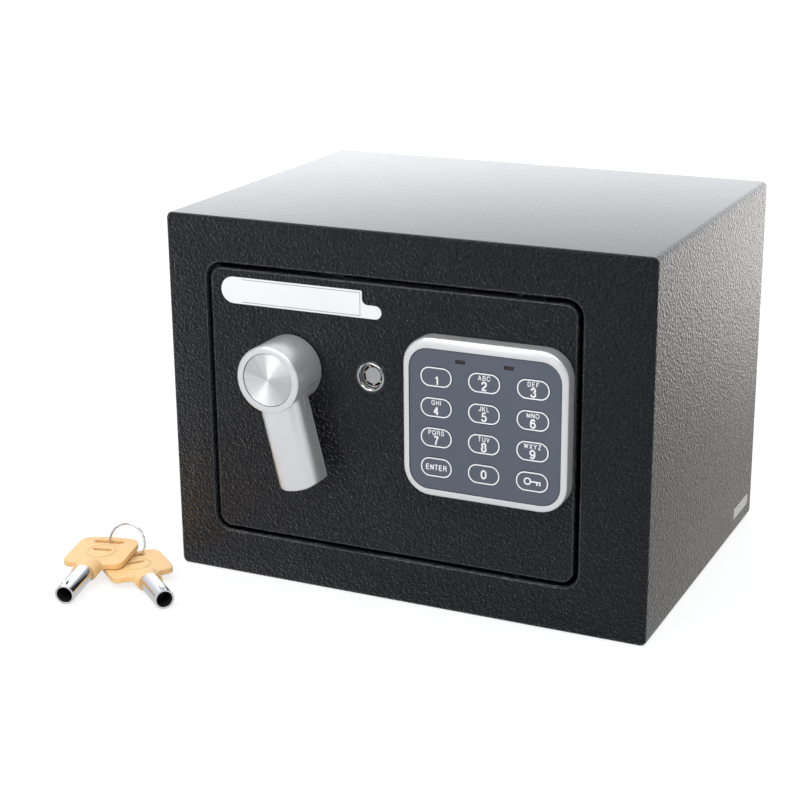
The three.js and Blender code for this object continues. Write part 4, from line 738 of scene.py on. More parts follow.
class Bench:
    """Modelling operations shared by the sub-assemblies."""

    MERGE = 1e-6  # corners closer than this are one
    WELD = 2e-6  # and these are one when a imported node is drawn
    SHARP_NEW = math.radians(35)  # a new piece's edges stay sharp above this
    SHARP_PACKED = math.radians(32)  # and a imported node's
    ACUTE = math.radians(100)  # a stroke that turns further than this is parted

    smoother: Optional[Tree] = None

    @staticmethod
    def only(piece: Piece) -> None:
        """Make a piece the only selected and active object.

        Args:
            piece: The object.
        """
        bpy.ops.object.select_all(action="DESELECT")
        piece.select_set(True)
        bpy.context.view_layer.objects.active = piece

    @staticmethod
    def edit() -> None:
        """Enter edit mode on the active object, with all of it selected."""
        bpy.ops.object.mode_set(mode="EDIT")
        bpy.ops.mesh.select_all(action="SELECT")

    @classmethod
    def close(cls) -> None:
        """Merge doubled corners, turn the faces outwards and leave edit mode."""
        bpy.ops.mesh.select_all(action="SELECT")
        bpy.ops.mesh.remove_doubles(threshold=cls.MERGE)
        bpy.ops.mesh.normals_make_consistent(inside=False)
        bpy.ops.object.mode_set(mode="OBJECT")

    @classmethod
    def done(cls, piece: Piece, name: str, finish: Finish, body: str) -> None:
        """Name, paint and place a new piece.

        Args:
            piece: The object.
            name: Its name.
            finish: Its finish.
            body: The CAD body it moves with.
        """
        cls.only(piece)
        piece.name = name
        bpy.ops.object.transform_apply(location=True, rotation=True, scale=True)
        bpy.ops.object.shade_smooth_by_angle(angle=cls.SHARP_NEW)
        piece.data.materials.clear()
        piece.data.materials.append(finish.material())
        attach(piece, body)

    @classmethod
    def printed(cls, width: float, height: float, radius: float, at: Place, rim: float = 0.0) -> Piece:
        """Make a printed plate that faces -Y, or a ring cut from one.

        Args:
            width: Its size along X.
            height: Its size along Z.
            radius: Radius of its corners.
            at: The middle of its face.
            rim: Width of the ring, or 0 for a full plate.

        Returns:
            The object.
        """
        bpy.ops.mesh.primitive_plane_add(size=1, location=at, rotation=(math.pi / 2, 0, 0))
        piece = bpy.context.object
        piece.scale = (width, height, 1)
        bpy.ops.object.transform_apply(location=False, rotation=False, scale=True)
        cls.edit()
        if radius:
            bpy.ops.mesh.bevel(offset=radius, segments=8, affect="VERTICES", offset_type="OFFSET")
            bpy.ops.mesh.remove_doubles(threshold=cls.MERGE)
        if rim:
            bpy.ops.mesh.select_all(action="SELECT")
            bpy.ops.mesh.inset(thickness=rim)
            bpy.ops.mesh.delete(type="FACE")
        bpy.ops.object.mode_set(mode="OBJECT")
        cls.apply(piece, "SOLIDIFY", thickness=INK, offset=-1)
        return piece

    @classmethod
    def apply(cls, piece: Piece, kind: str, **settings: Any) -> None:
        """Add a modifier to a new piece and apply it.

        Args:
            piece: The object.
            kind: The modifier's type.
            **settings: Its options.
        """
        cls.only(piece)
        modifier = piece.modifiers.new(kind.lower(), kind)
        for key, value in settings.items():
            setattr(modifier, key, value)
        bpy.ops.object.modifier_apply(modifier=modifier.name)

    @classmethod
    def turned(cls, profile: Profile, at: Place, axis: Axis, steps: int = 32) -> Piece:
        """Make a turned piece by drawing a circle out along its axis.

        Args:
            profile: Radius and height of each ring. A radius of 0 at either end closes it.
            at: The point of the axis where the height is 0.
            axis: The way the height counts.
            steps: Corners of each ring.

        Returns:
            The object.
        """
        point = cls.MERGE / 10  # a ring so small that it becomes one corner
        (radius, height), *rest = [(max(r, point), h) for r, h in profile]
        bpy.ops.mesh.primitive_circle_add(
            vertices=steps, radius=radius, fill_type="NOTHING", location=(0, 0, height),
        )
        piece = bpy.context.object
        bpy.ops.object.transform_apply(location=True, rotation=False, scale=False)
        cls.edit()
        for next_radius, next_height in rest:
            bpy.ops.mesh.extrude_region_move(TRANSFORM_OT_translate={"value": (0, 0, next_height - height)})
            ratio = next_radius / radius
            bpy.ops.transform.resize(value=(ratio, ratio, 1), center_override=(0, 0, next_height))
            radius, height = next_radius, next_height
        cls.close()
        piece.rotation_euler = axis.value
        piece.location = at
        return piece

    @classmethod
    def curve(cls, name: str, at: Place, facing: Place, **settings: Any) -> Piece:
        """Start a piece that is drawn as a curve.

        Args:
            name: Its name while it is drawn.
            at: Where its zero lies.
            facing: Its rotation.
            **settings: Options of the curve.

        Returns:
            The object, still without a line in it.
        """
        drawn = bpy.data.curves.new(name, "CURVE")
        for key, value in settings.items():
            setattr(drawn, key, value)
        piece = bpy.data.objects.new(name, drawn)
        bpy.context.scene.collection.objects.link(piece)
        piece.rotation_euler = facing
        piece.location = at
        return piece

    @classmethod
    def line(cls, piece: Piece, points: Profile, closed: bool, smooth: bool) -> None:
        """Add one line to a drawn curve.

        Args:
            piece: The object from curve.
            points: Its corners, or the points a smooth line runs through.
            closed: Whether its end joins its start.
            smooth: Whether it runs smoothly.
        """
        made = piece.data.splines.new("BEZIER" if smooth else "POLY")
        made.use_cyclic_u = closed
        corners = made.bezier_points if smooth else made.points
        corners.add(len(points) - 1)
        for corner, (x, z) in zip(corners, points):
            if smooth:
                corner.co = (x, z, 0)
                corner.handle_left_type = corner.handle_right_type = "AUTO"
            else:
                corner.co = (x, z, 0, 1)

    @classmethod
    def cutout(cls, outline: Profile, thickness: float, at: Place, facing: Place = FRONTWARD) -> Piece:
        """Make a thin flat piece from its outline.

        Args:
            outline: Its corners, across and up.
            thickness: Its thickness, half on either side of the place.
            at: Where the outline's zero lies.
            facing: Its rotation.

        Returns:
            The object, as a mesh.
        """
        piece = cls.curve("cutout", at, facing, dimensions="2D", fill_mode="BOTH", extrude=thickness / 2)
        cls.line(piece, outline, True, False)
        cls.only(piece)
        bpy.ops.object.convert(target="MESH")
        cls.edit()
        cls.close()
        return piece

    @classmethod
    def strokes(cls, text: str, height: float, weight: float, at: Place, spacing: float) -> Piece:
        """Make printed lettering of even strokes that faces -Y.

        Args:
            text: Capital letters and figures.
            height: Their height.
            weight: Width of the strokes.
            at: The middle of the lettering.
            spacing: Gap between two letters, as a share of their height.

        Returns:
            The object, as a mesh.
        """
        drawn = [STROKES[letter] for letter in text]
        widths = [max(x for _, _, points in letter for x, _ in points) for letter in drawn]
        piece = cls.curve(
            "strokes", at, FRONTWARD, dimensions="3D", fill_mode="FULL", bevel_depth=weight / 2,
            bevel_resolution=1, resolution_u=5, use_fill_caps=True,
        )
        left = -(sum(widths) + spacing * (len(text) - 1)) / 2
        inner = height - weight
        for letter, width in zip(drawn, widths):
            for closed, smooth, points in letter:
                placed = [((left + x) * inner, (z - 0.5) * inner) for x, z in points]
                for part in [placed] if smooth else cls.parted(placed):
                    cls.line(piece, part, closed, smooth)
            left += width + spacing
        cls.only(piece)
        bpy.ops.object.convert(target="MESH")
        cls.edit()
        bpy.ops.transform.resize(value=(1, INK / weight, 1), center_override=at)
        cls.close()
        return piece

    @classmethod
    def parted(cls, points: Profile) -> list[Profile]:
        """Part a stroke at its acute corners, where one bent line would come out thin.

        Args:
            points: Its corners.

        Returns:
            The parts, each with its own corners.
        """
        parts = [list(points[:2])]
        for point in points[2:]:
            before = Vector(parts[-1][-1]) - Vector(parts[-1][-2])
            after = Vector(point) - Vector(parts[-1][-1])
            if before.angle(after) > cls.ACUTE:
                parts.append([parts[-1][-1], point])
            else:
                parts[-1].append(point)
        return parts

    @classmethod
    def smooth(cls, piece: Piece) -> None:
        """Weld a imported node's faces for drawing and smooth them, except over sharp edges.

        Args:
            piece: The CAD node's object, whose own mesh stays as it is.
        """
        if cls.smoother is None:
            tree = bpy.data.node_groups.new("weld_and_smooth", "GeometryNodeTree")
            tree.interface.new_socket("Geometry", in_out="INPUT", socket_type="NodeSocketGeometry")
            tree.interface.new_socket("Geometry", in_out="OUTPUT", socket_type="NodeSocketGeometry")
            graph = Graph(tree)
            given = graph.node("NodeGroupInput").outputs[0]
            plain = graph.node("GeometryNodeRemoveAttribute", {0: given, "Name": "custom_normal"})
            weld = graph.node(
                "GeometryNodeMergeByDistance", {"Geometry": plain.outputs[0], "Distance": cls.WELD},
            )
            faces = graph.node("GeometryNodeSetShadeSmooth", {0: weld.outputs[0], "Shade Smooth": True})
            angle = graph.node("GeometryNodeInputMeshEdgeAngle")
            gentle = graph.math("LESS_THAN", angle.outputs[0], cls.SHARP_PACKED)
            edges = graph.node(
                "GeometryNodeSetShadeSmooth", {0: faces.outputs[0], "Shade Smooth": gentle}, domain="EDGE",
            )
            graph.put_out("NodeGroupOutput", edges)
            cls.smoother = tree
        modifier = piece.modifiers.new("weld_and_smooth", "NODES")
        modifier.node_group = cls.smoother

    @classmethod
    def dress(cls, finish: Finish, *nodes: str, flat: bool = False) -> None:
        """Give CAD nodes a finish.

        Args:
            finish: The finish.
            *nodes: Names of the nodes.
            flat: Whether their faces are left as they are, because they have no rounded ones.
        """
        for name in nodes:
            piece = frame["nodes"][name]
            piece.data.materials.clear()
            piece.data.materials.append(finish.material())
            if not flat:
                cls.smooth(piece)


@dataclass
class Case:
    """The welded case, with what is fixed in it and stuck on it.

    Attributes:
        label_size: Length and height of the small bare label low on the right side.
        label_at: Y and Z of its lower front corner.
        strip_size: Length and height of the faint clear strip in front of it.
        strip_at: Y and Z of its lower front corner.
        corner: Radius of their corners.
        film: Thickness of both.
        sunk: How far the middle of a film lies below the paint's face, as a share of its thickness.
    """

    label_size: tuple[float, float] = (25 * MM, 5.4 * MM)
    label_at: tuple[float, float] = (54 * MM, 7.8 * MM)
    strip_size: tuple[float, float] = (33 * MM, 8 * MM)
    strip_at: tuple[float, float] = (14 * MM, 6.5 * MM)
    corner: float = 0.8 * MM
    film: float = 0.1 * MM
    sunk: float = 0.4

    def build(self) -> None:
        """Dress the case and stick on its bare label and strip."""
        Bench.dress(PAINT, "case_body", "back_panel", "strike_strip", "frame_hinge_top", "frame_hinge_bottom")
        Bench.dress(FELT, "floor_mat")
        self.stick("side_label", SIDE_LABEL, self.label_at, self.label_size)
        self.stick("side_strip", SIDE_STRIP, self.strip_at, self.strip_size)

    def stick(self, name: str, finish: Finish, at: tuple[float, float], size: tuple[float, float]) -> None:
        """Stick a film with small round corners on the right side.

        Args:
            name: The film's name.
            finish: Its finish.
            at: Y and Z of its lower front corner.
            size: Its length and height.
        """
        radius = self.corner
        far, high = (length - radius for length in size)
        outline = []
        for i, middle in enumerate(((far, high), (radius, high), (radius, radius), (far, radius))):
            outline += arc(*middle, radius, 90 * i, 90 * (i + 1), 4)
        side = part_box("case_body")[1].x
        film = Bench.cutout(outline, self.film, (side - self.film * self.sunk, *at), RIGHTWARD)
        Bench.done(film, name, finish, "case")


@dataclass
class Door:
    """The door plate, its hinge lugs and its label.

    Attributes:
        label_left: Distance of the label from the door's left edge.
        label_down: Distance of the label from the door's top edge.
        label_size: Length and height of the label's body, whose left end is a half circle.
        tab_size: Length and height of the tab that it is peeled by, whose right end is a half circle.
        fillet: Radius of the hollow corner between body and tab.
        corner: Radius of the body's upper right corner.
        film: Its thickness.
        line_inset: Distance of the printed line from the label's right and lower edges.
        line_width: Width of the printed line.
        line_start: Where the line starts, from the label's left end.
    """

    label_left: float = 5.4 * MM
    label_down: float = 3.7 * MM
    label_size: tuple[float, float] = (70.2 * MM, 12.2 * MM)
    tab_size: tuple[float, float] = (9.3 * MM, 6.0 * MM)
    fillet: float = 2.6 * MM
    corner: float = 0.4 * MM
    film: float = 0.15 * MM
    line_inset: float = 0.8 * MM
    line_width: float = 0.28 * MM
    line_start: float = 10.5 * MM

    def build(self) -> None:
        """Dress the door and stick on its bare label."""
        Bench.dress(PAINT, "door_plate", "mechanism_cover", "hinge_lug_top", "hinge_lug_bottom")
        low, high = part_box("door_plate")
        length, height = self.label_size
        left, bottom = low.x + self.label_left, high.z - self.label_down - height
        body = Bench.cutout(self.label_outline(), self.film, (left, low.y - self.film / 2, bottom))
        Bench.done(body, "door_label", LABEL, "door")
        line = Bench.cutout(self.line_outline(), INK, (left, low.y - self.film - INK, bottom))
        Bench.done(line, "door_label_line", LABEL_LINE, "door")

    def line_outline(self) -> list[tuple[float, float]]:
        """Outline the line printed along three sides of the label.

        Returns:
            Its corners, from the label's lower left corner.
        """
        length, height = self.label_size
        right, bottom = length - self.line_inset, self.line_inset
        top, left, width = height - self.line_inset, self.line_start, self.line_width
        return [
            (left, top), (right, top), (right, bottom), (left, bottom), (left, bottom + width),
            (right - width, bottom + width), (right - width, top - width), (left, top - width),
        ]

    def label_outline(self) -> list[tuple[float, float]]:
        """Outline the label.

        Returns:
            Its corners, from its lower left corner.
        """
        length, height = self.label_size
        out, tall = self.tab_size
        end, half, fillet = height / 2, tall / 2, self.fillet
        corners = arc(end, end, end, 90, 270, 16)
        corners += arc(length + out - half, half, half, -90, 90, 10)
        corners += arc(length + fillet, tall + fillet, fillet, 270, 180, 6)
        return corners + arc(length - self.corner, height - self.corner, self.corner, 0, 90, 3)


@dataclass
class Handle:
    """The turning handle.

    Attributes:
        disc: The node in its hub that is spun, round whose middle its shine and its painted highlight turn.
    """

    disc: str = "handle_disc"

    def build(self) -> None:
        """Dress the handle."""
        low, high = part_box(self.disc)
        Bench.dress(SILVER, "handle_shell", "handle_rear_cover")
        Bench.dress(replace(SPUN, centre=tuple((low + high) / 2)), self.disc)
        Bench.dress(ZINC, "handle_spindle", "drive_cam")
        Bench.dress(BRASS, "handle_bush")


@dataclass
class Lock:
    """The override lock.

    Attributes:
        pins: How many pins stand in the keyway.
        pin_circle: Radius of the circle they stand on.
        pin_radius: Radius of a pin.
        pin_depth: How far their ends lie behind the core's face.
        pin_length: How much of a pin is made.
        uneven: How far the pins' depths differ, as a share of that depth.
        beat: How the depths go on from pin to pin, in radians.
    """

    pins: int = 7
    pin_circle: float = 4.22 * MM
    pin_radius: float = 0.62 * MM
    pin_depth: float = 0.35 * MM
    pin_length: float = 5.2 * MM
    uneven: float = 0.35
    beat: float = 3.1

    def build(self) -> None:
        """Dress the lock and set its pins."""
        Bench.dress(RIM, "lock_barrel")
        Bench.dress(SATIN, "lock_core")
        Bench.dress(ZINC, "lock_nut", "lock_cam")
        low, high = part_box("lock_core")
        middle = (low + high) / 2
        radius = self.pin_radius
        profile = [
            (0, 0), (radius * 0.7, 0), (radius, radius * 0.4), (radius, self.pin_length), (0, self.pin_length),
        ]
        for i in range(self.pins):
            angle = math.tau * (i + 0.5) / self.pins
            x = middle.x + self.pin_circle * math.sin(angle)
            z = middle.z + self.pin_circle * math.cos(angle)
            deep = self.pin_depth * (1 + self.uneven * math.sin(self.beat * i))
            pin = Bench.turned(profile, (x, low.y + deep, z), Axis.Y, 16)
            Bench.done(pin, f"lock_pin_{i + 1}", PIN, "lock")


@dataclass(frozen=True)
class KeySign:
    """The printed sign of a key: a ring, a shaft and two teeth.

    Attributes:
        ring: Size of the ring.
        ring_corner: Radius of its outer edge, just under half its size.
        ring_width: Width of its line.
        ring_left: Distance of its middle to the left of the sign's.
        lift: Height of ring and shaft over the sign's middle.
        shaft: Length and width of the shaft.
        shaft_right: Distance of its middle to the right of the sign's.
        tooth: Width and length of a tooth.
        tooth_drop: How far the teeth's middles lie below the sign's.
        teeth: Distances of the teeth to its right.
    """

    ring: float = 3.4 * MM
    ring_corner: float = 1.69 * MM
    ring_width: float = 0.62 * MM
    ring_left: float = 2.1 * MM
    lift: float = 0.1 * MM
    shaft: tuple[float, float] = (4.3 * MM, 0.6 * MM)
    shaft_right: float = 1.7 * MM
    tooth: tuple[float, float] = (0.65 * MM, 1.2 * MM)
    tooth_drop: float = 0.75 * MM
    teeth: tuple[float, float] = (2.2 * MM, 3.5 * MM)

    def build(self, at: Place, body: str) -> None:
        """Print the sign.

        Args:
            at: Its middle.
            body: The CAD body it moves with.
        """
        x, y, z = at
        ring_at = (x - self.ring_left, y, z + self.lift)
        ring = Bench.printed(self.ring, self.ring, self.ring_corner, ring_at, self.ring_width)
        Bench.done(ring, "key_sign_ring", WHITE_INK, body)
        shaft = Bench.printed(*self.shaft, 0, (x + self.shaft_right, y, z + self.lift))
        Bench.done(shaft, "key_sign_shaft", WHITE_INK, body)
        for i, away in enumerate(self.teeth, start=1):
            tooth = Bench.printed(*self.tooth, 0, (x + away, y, z - self.tooth_drop))
            Bench.done(tooth, f"key_sign_tooth_{i}", WHITE_INK, body)


@dataclass
class Keypad:
    """The keypad's face and what lies behind it.

    Attributes:
        keys: The ends of the keys' names, which are printed on them in capitals.
        sign_key: The one that gets the sign of a key instead.
        high_keys: Keys whose print stands in the middle, as no letters stand above it.
        small: The letters above the figures.
        sign: The sign of a key.
        flange: How far the cap's hidden flange reaches past its face.
        rim: Width of the printed line round a key.
        rim_out: How far the line stands over the key's edge, or stays inside it.
        rim_round: Radius of the line's ends, as a share of its height.
        print_at: How far the print's face stands out from the cap's.
        figure: Height and weight of the figures.
        figure_drop: How far their middle lies below the key's.
        word: Height and weight of the word.
        letters: Height and weight of the small letters.
        letters_rise: How far their middle lies above the key's.
        word_gap: Gap between two letters of the word, as a share of their height.
        letter_gap: The same for the small letters.
    """

    keys: tuple[str, ...] = ("1", "2", "3", "4", "5", "6", "7", "8", "9", "enter", "0", "open")
    sign_key: str = "open"
    high_keys: tuple[str, ...] = ("enter", "0")
    small: dict[str, str] = field(
        default_factory=lambda: {
            "2": "ABC", "3": "DEF", "4": "GHI", "5": "JKL", "6": "MNO", "7": "PQRS", "8": "TUV", "9": "WXYZ",
        }
    )
    sign: KeySign = KeySign()
    flange: float = 1 * MM
    rim: float = 0.55 * MM
    rim_out: float = -0.03 * MM
    rim_round: float = 0.48
    print_at: float = 0.03 * MM
    figure: tuple[float, float] = (4.25 * MM, 0.74 * MM)
    figure_drop: float = 1.35 * MM
    word: tuple[float, float] = (2.7 * MM, 0.46 * MM)
    letters: tuple[float, float] = (2.3 * MM, 0.35 * MM)
    letters_rise: float = 2.2 * MM
    word_gap: float = 0.31
    letter_gap: float = 0.38

    def build(self) -> None:
        """Dress the keypad and print its keys."""
        Bench.dress(SILVER, "keypad_bezel")
        Bench.dress(SLATE, "keypad_panel", flat=True)
        Bench.dress(SLATE, *(f"key_{name}" for name in self.keys))
        Bench.dress(SMOKED, "light_pipe")
        Bench.dress(RUBBER, "key_mat")
        Bench.dress(BOARD, "circuit_board")
        Bench.dress(BLACK, "keypad_lead")
        for name in self.keys:
            self.print_key(name)

    def print_key(self, name: str) -> None:
        """Print one key.

        Args:
            name: The end of its node's name.
        """
        low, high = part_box(f"key_{name}")
        body = f"button_{name}"
        middle = (low + high) / 2
        width, height = (side - 2 * self.flange + 2 * self.rim_out for side in (high.x - low.x, high.z - low.z))
        face = low.y - self.print_at
        ring = Bench.printed(width, height, height * self.rim_round, (middle.x, face, middle.z), self.rim)
        Bench.done(ring, f"key_line_{name}", WHITE_INK, body)
        ink = face + INK / 2
        if name in self.small:
            above = (middle.x, ink, middle.z + self.letters_rise)
            letters = Bench.strokes(self.small[name], *self.letters, above, self.letter_gap)
            Bench.done(letters, f"key_letters_{name}", WHITE_INK, body)
        if name == self.sign_key:
            self.sign.build((middle.x, ink, middle.z), body)
        else:
            size = self.word if len(name) > 1 else self.figure
            drop = 0.0 if name in self.high_keys else self.figure_drop
            figure = Bench.strokes(name.upper(), *size, (middle.x, ink, middle.z - drop), self.word_gap)
            Bench.done(figure, f"key_figure_{name}", WHITE_INK, body)


@dataclass
class BoltWork:
    """The bolts, their drive, the solenoid and the batteries behind the door.

    Attributes:
        screw_radius: Radius of the heads of the mechanism cover's screws.
        screw_height: Their height.
        screw_gap: Their gap to the cover.
        screw_dome: The rings of a head from its rim up, as shares of its radius and height.
        screw_slot: Half the length and half the width of the cross in them.
        screw_turns: How far the crosses are turned, in degrees.
        screw_left: Distance of the left screws from the cover's left edge.
        screw_right: Distance of the right screws from its right edge.
        screw_end: Distance of all of them from its top and bottom edges.
    """

    screw_radius: float = 2.3 * MM
    screw_height: float = 1.7 * MM
    screw_gap: float = 0.02 * MM
    screw_dome: tuple[tuple[float, float], ...] = ((0, 0), (1, 0), (1, 0.4), (0.87, 0.75), (0.55, 0.95), (0, 1))
    screw_slot: tuple[float, float] = (1.35 * MM, 0.3 * MM)
    screw_turns: tuple[float, ...] = (12.0, 57.0, 31.0, 78.0)
    screw_left: float = 7 * MM
    screw_right: float = 20 * MM
    screw_end: float = 5.5 * MM

    def build(self) -> None:
        """Dress the bolt work and fasten its cover."""
        Bench.dress(CHROME, "bolt_upper", "bolt_lower")
        Bench.dress(
            ZINC, "bolt_carriage", "bolt_guide", "guide_stud", "solenoid_bracket", "plunger",
            "plunger_link", "plunger_spring",
        )
        Bench.dress(COPPER, "solenoid_coil")
        Bench.dress(BLACK, "battery_box", "battery_cover")
        Bench.dress(CELL, "cell_1", "cell_2", "cell_3", "cell_4")
        Bench.dress(RED, "reset_button")
        low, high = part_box("mechanism_cover")
        for i, turn in enumerate(self.screw_turns):
            x = low.x + self.screw_left if i < 2 else high.x - self.screw_right
            z = low.z + self.screw_end if i % 2 else high.z - self.screw_end
            self.drive_screw(f"cover_screw_{i + 1}", (x, high.y + self.screw_gap, z), turn)

    def drive_screw(self, name: str, at: Place, turn: float) -> None:
        """Make the head of a screw with a cross in it.

        Args:
            name: Its name.
            at: The middle of its underside.
            turn: How far its cross is turned, in degrees.
        """
        radius, height = self.screw_radius, self.screw_height
        head = Bench.turned([(radius * r, height * h) for r, h in self.screw_dome], at, Axis.Y, 24)
        long, wide = self.screw_slot
        arm = ((wide, wide), (wide, long), (-wide, long))
        outline = []
        for quarter in range(4):
            angle = math.radians(turn + 90 * quarter)
            outline += [
                (x * math.cos(angle) - z * math.sin(angle), x * math.sin(angle) + z * math.cos(angle))
                for x, z in arm
            ]
        cross = Bench.cutout(outline, height, (at[0], at[1] + height, at[2]))
        Bench.apply(head, "BOOLEAN", object=cross, operation="DIFFERENCE", solver="EXACT")
        bpy.data.objects.remove(cross)
        Bench.done(head, name, ZINC, "door")


@dataclass(frozen=True)
class KeyPlace:
    """How an override key lies.

    Attributes:
        mouth: Middle of its tube's open end.
        heading: Turn about Z of the way from the mouth to the bow.
        tilt: How far the bow rises.
        roll: Turn about the key's own length.
    """

    mouth: Place
    heading: float
    tilt: float
    roll: float

    def lay(self, piece: Piece) -> None:
        """Lay a piece that was drawn on a key along +X, with the mouth at zero.

        Args:
            piece: The object.
        """
        turn = Matrix.Rotation(math.radians(self.heading), 4, "Z")
        tilt = Matrix.Rotation(-math.radians(self.tilt), 4, "Y")
        roll = Matrix.Rotation(math.radians(self.roll), 4, "X")
        piece.matrix_world = Matrix.Translation(self.mouth) @ turn @ tilt @ roll @ piece.matrix_basis


@dataclass
class OverrideKeys:
    """The two loose keys on their ring.

    Attributes:
        places: How each key lies.
        bore: Radius of the dark lining inside a tube, which is painted shade.
        bore_depth: How deep the tube is open.
        lining: Thickness of the lining.
        medal: Outer and inner radius of the raised circle on a bow.
        medal_at: Distance of its middle from the mouth.
        medal_rise: How far it stands out of the bow.
        medal_root: How far it reaches into it.
        medal_out: How wide and how deep its outer edge is broken.
        medal_in: The same for its inner edge.
        bow_half: Half of the bow's thickness.
    """

    places: dict[str, KeyPlace] = field(
        default_factory=lambda: {
            "left": KeyPlace((-137.3 * MM, -149.8 * MM, 4.9 * MM), 101.5, 3.4, -1.5),
            "right": KeyPlace((-93.3 * MM, -135.5 * MM, 4.92 * MM), 140, -0.8, -1),
        }
    )
    bore: float = 3.7 * MM
    bore_depth: float = 8.9 * MM
    lining: float = 0.12 * MM
    medal: tuple[float, float] = (7.2 * MM, 6.3 * MM)
    medal_at: float = 43.6 * MM
    medal_rise: float = 0.2 * MM
    medal_root: float = 0.15 * MM
    medal_out: tuple[float, float] = (0.15 * MM, 0.12 * MM)
    medal_in: tuple[float, float] = (0.2 * MM, 0.15 * MM)
    bow_half: float = 1.25 * MM

    def build(self) -> None:
        """Dress the keys, put painted shade in their tubes and raise the circles on their bows."""
        Bench.dress(CREAM, "override_key_left_bow", "override_key_right_bow")
        Bench.dress(CHROME, "override_key_left_tube", "override_key_right_tube", "key_ring")
        for side, place in self.places.items():
            self.shade_tube(side, place)
            self.raise_circle(side, place)

    def shade_tube(self, side: str, place: KeyPlace) -> None:
        """Line a tube with a dark sleeve, painted shade deep in its bore.

        Args:
            side: Which key it is.
            place: How the key lies.
        """
        outer, inner = self.bore, self.bore - self.lining
        mouth, end = self.lining * 2, self.bore_depth - self.lining
        floor = self.bore_depth
        profile = [(0, floor), (outer, floor), (outer, mouth), (inner, mouth), (inner, end), (0, end)]
        lining = Bench.turned(profile, (0, 0, 0), Axis.X)
        place.lay(lining)
        Bench.done(lining, f"key_bore_{side}", BORE_SHADE, "override_keys")

    def raise_circle(self, side: str, place: KeyPlace) -> None:
        """Raise the circle on a bow's upper face.

        Args:
            side: Which key it is.
            place: How the key lies.
        """
        foot, top = self.bow_half - self.medal_root, self.bow_half + self.medal_rise
        outer, inner = self.medal
        profile = [
            (outer, foot), (outer, top - self.medal_out[1]), (outer - self.medal_out[0], top),
            (inner + self.medal_in[0], top), (inner, top - self.medal_in[1]), (inner, foot), (outer, foot),
        ]
        circle = Bench.turned(profile, (self.medal_at, 0, 0), Axis.Z, 48)
        place.lay(circle)
        Bench.done(circle, f"key_circle_{side}", CREAM, "override_keys")


@dataclass(frozen=True)
class Lamp:
    """A soft square lamp.

    Attributes:
        name: Its name.
        at: Where it hangs.
        size: Its side.
        power: Its power in watts.
    """

    name: str
    at: Place
    size: float
    power: float

    def hang(self, aim: Place) -> None:
        """Hang the lamp.

        Args:
            aim: The point it faces.
        """
        data = bpy.data.lights.new(self.name, "AREA")
        data.shape = "SQUARE"
        data.size = self.size
        data.energy = self.power
        lamp = bpy.data.objects.new(self.name, data)
        bpy.context.scene.collection.objects.link(lamp)
        lamp.location = self.at
        lamp.rotation_euler = (Vector(self.at) - Vector(aim)).to_track_quat("Z", "Y").to_euler()


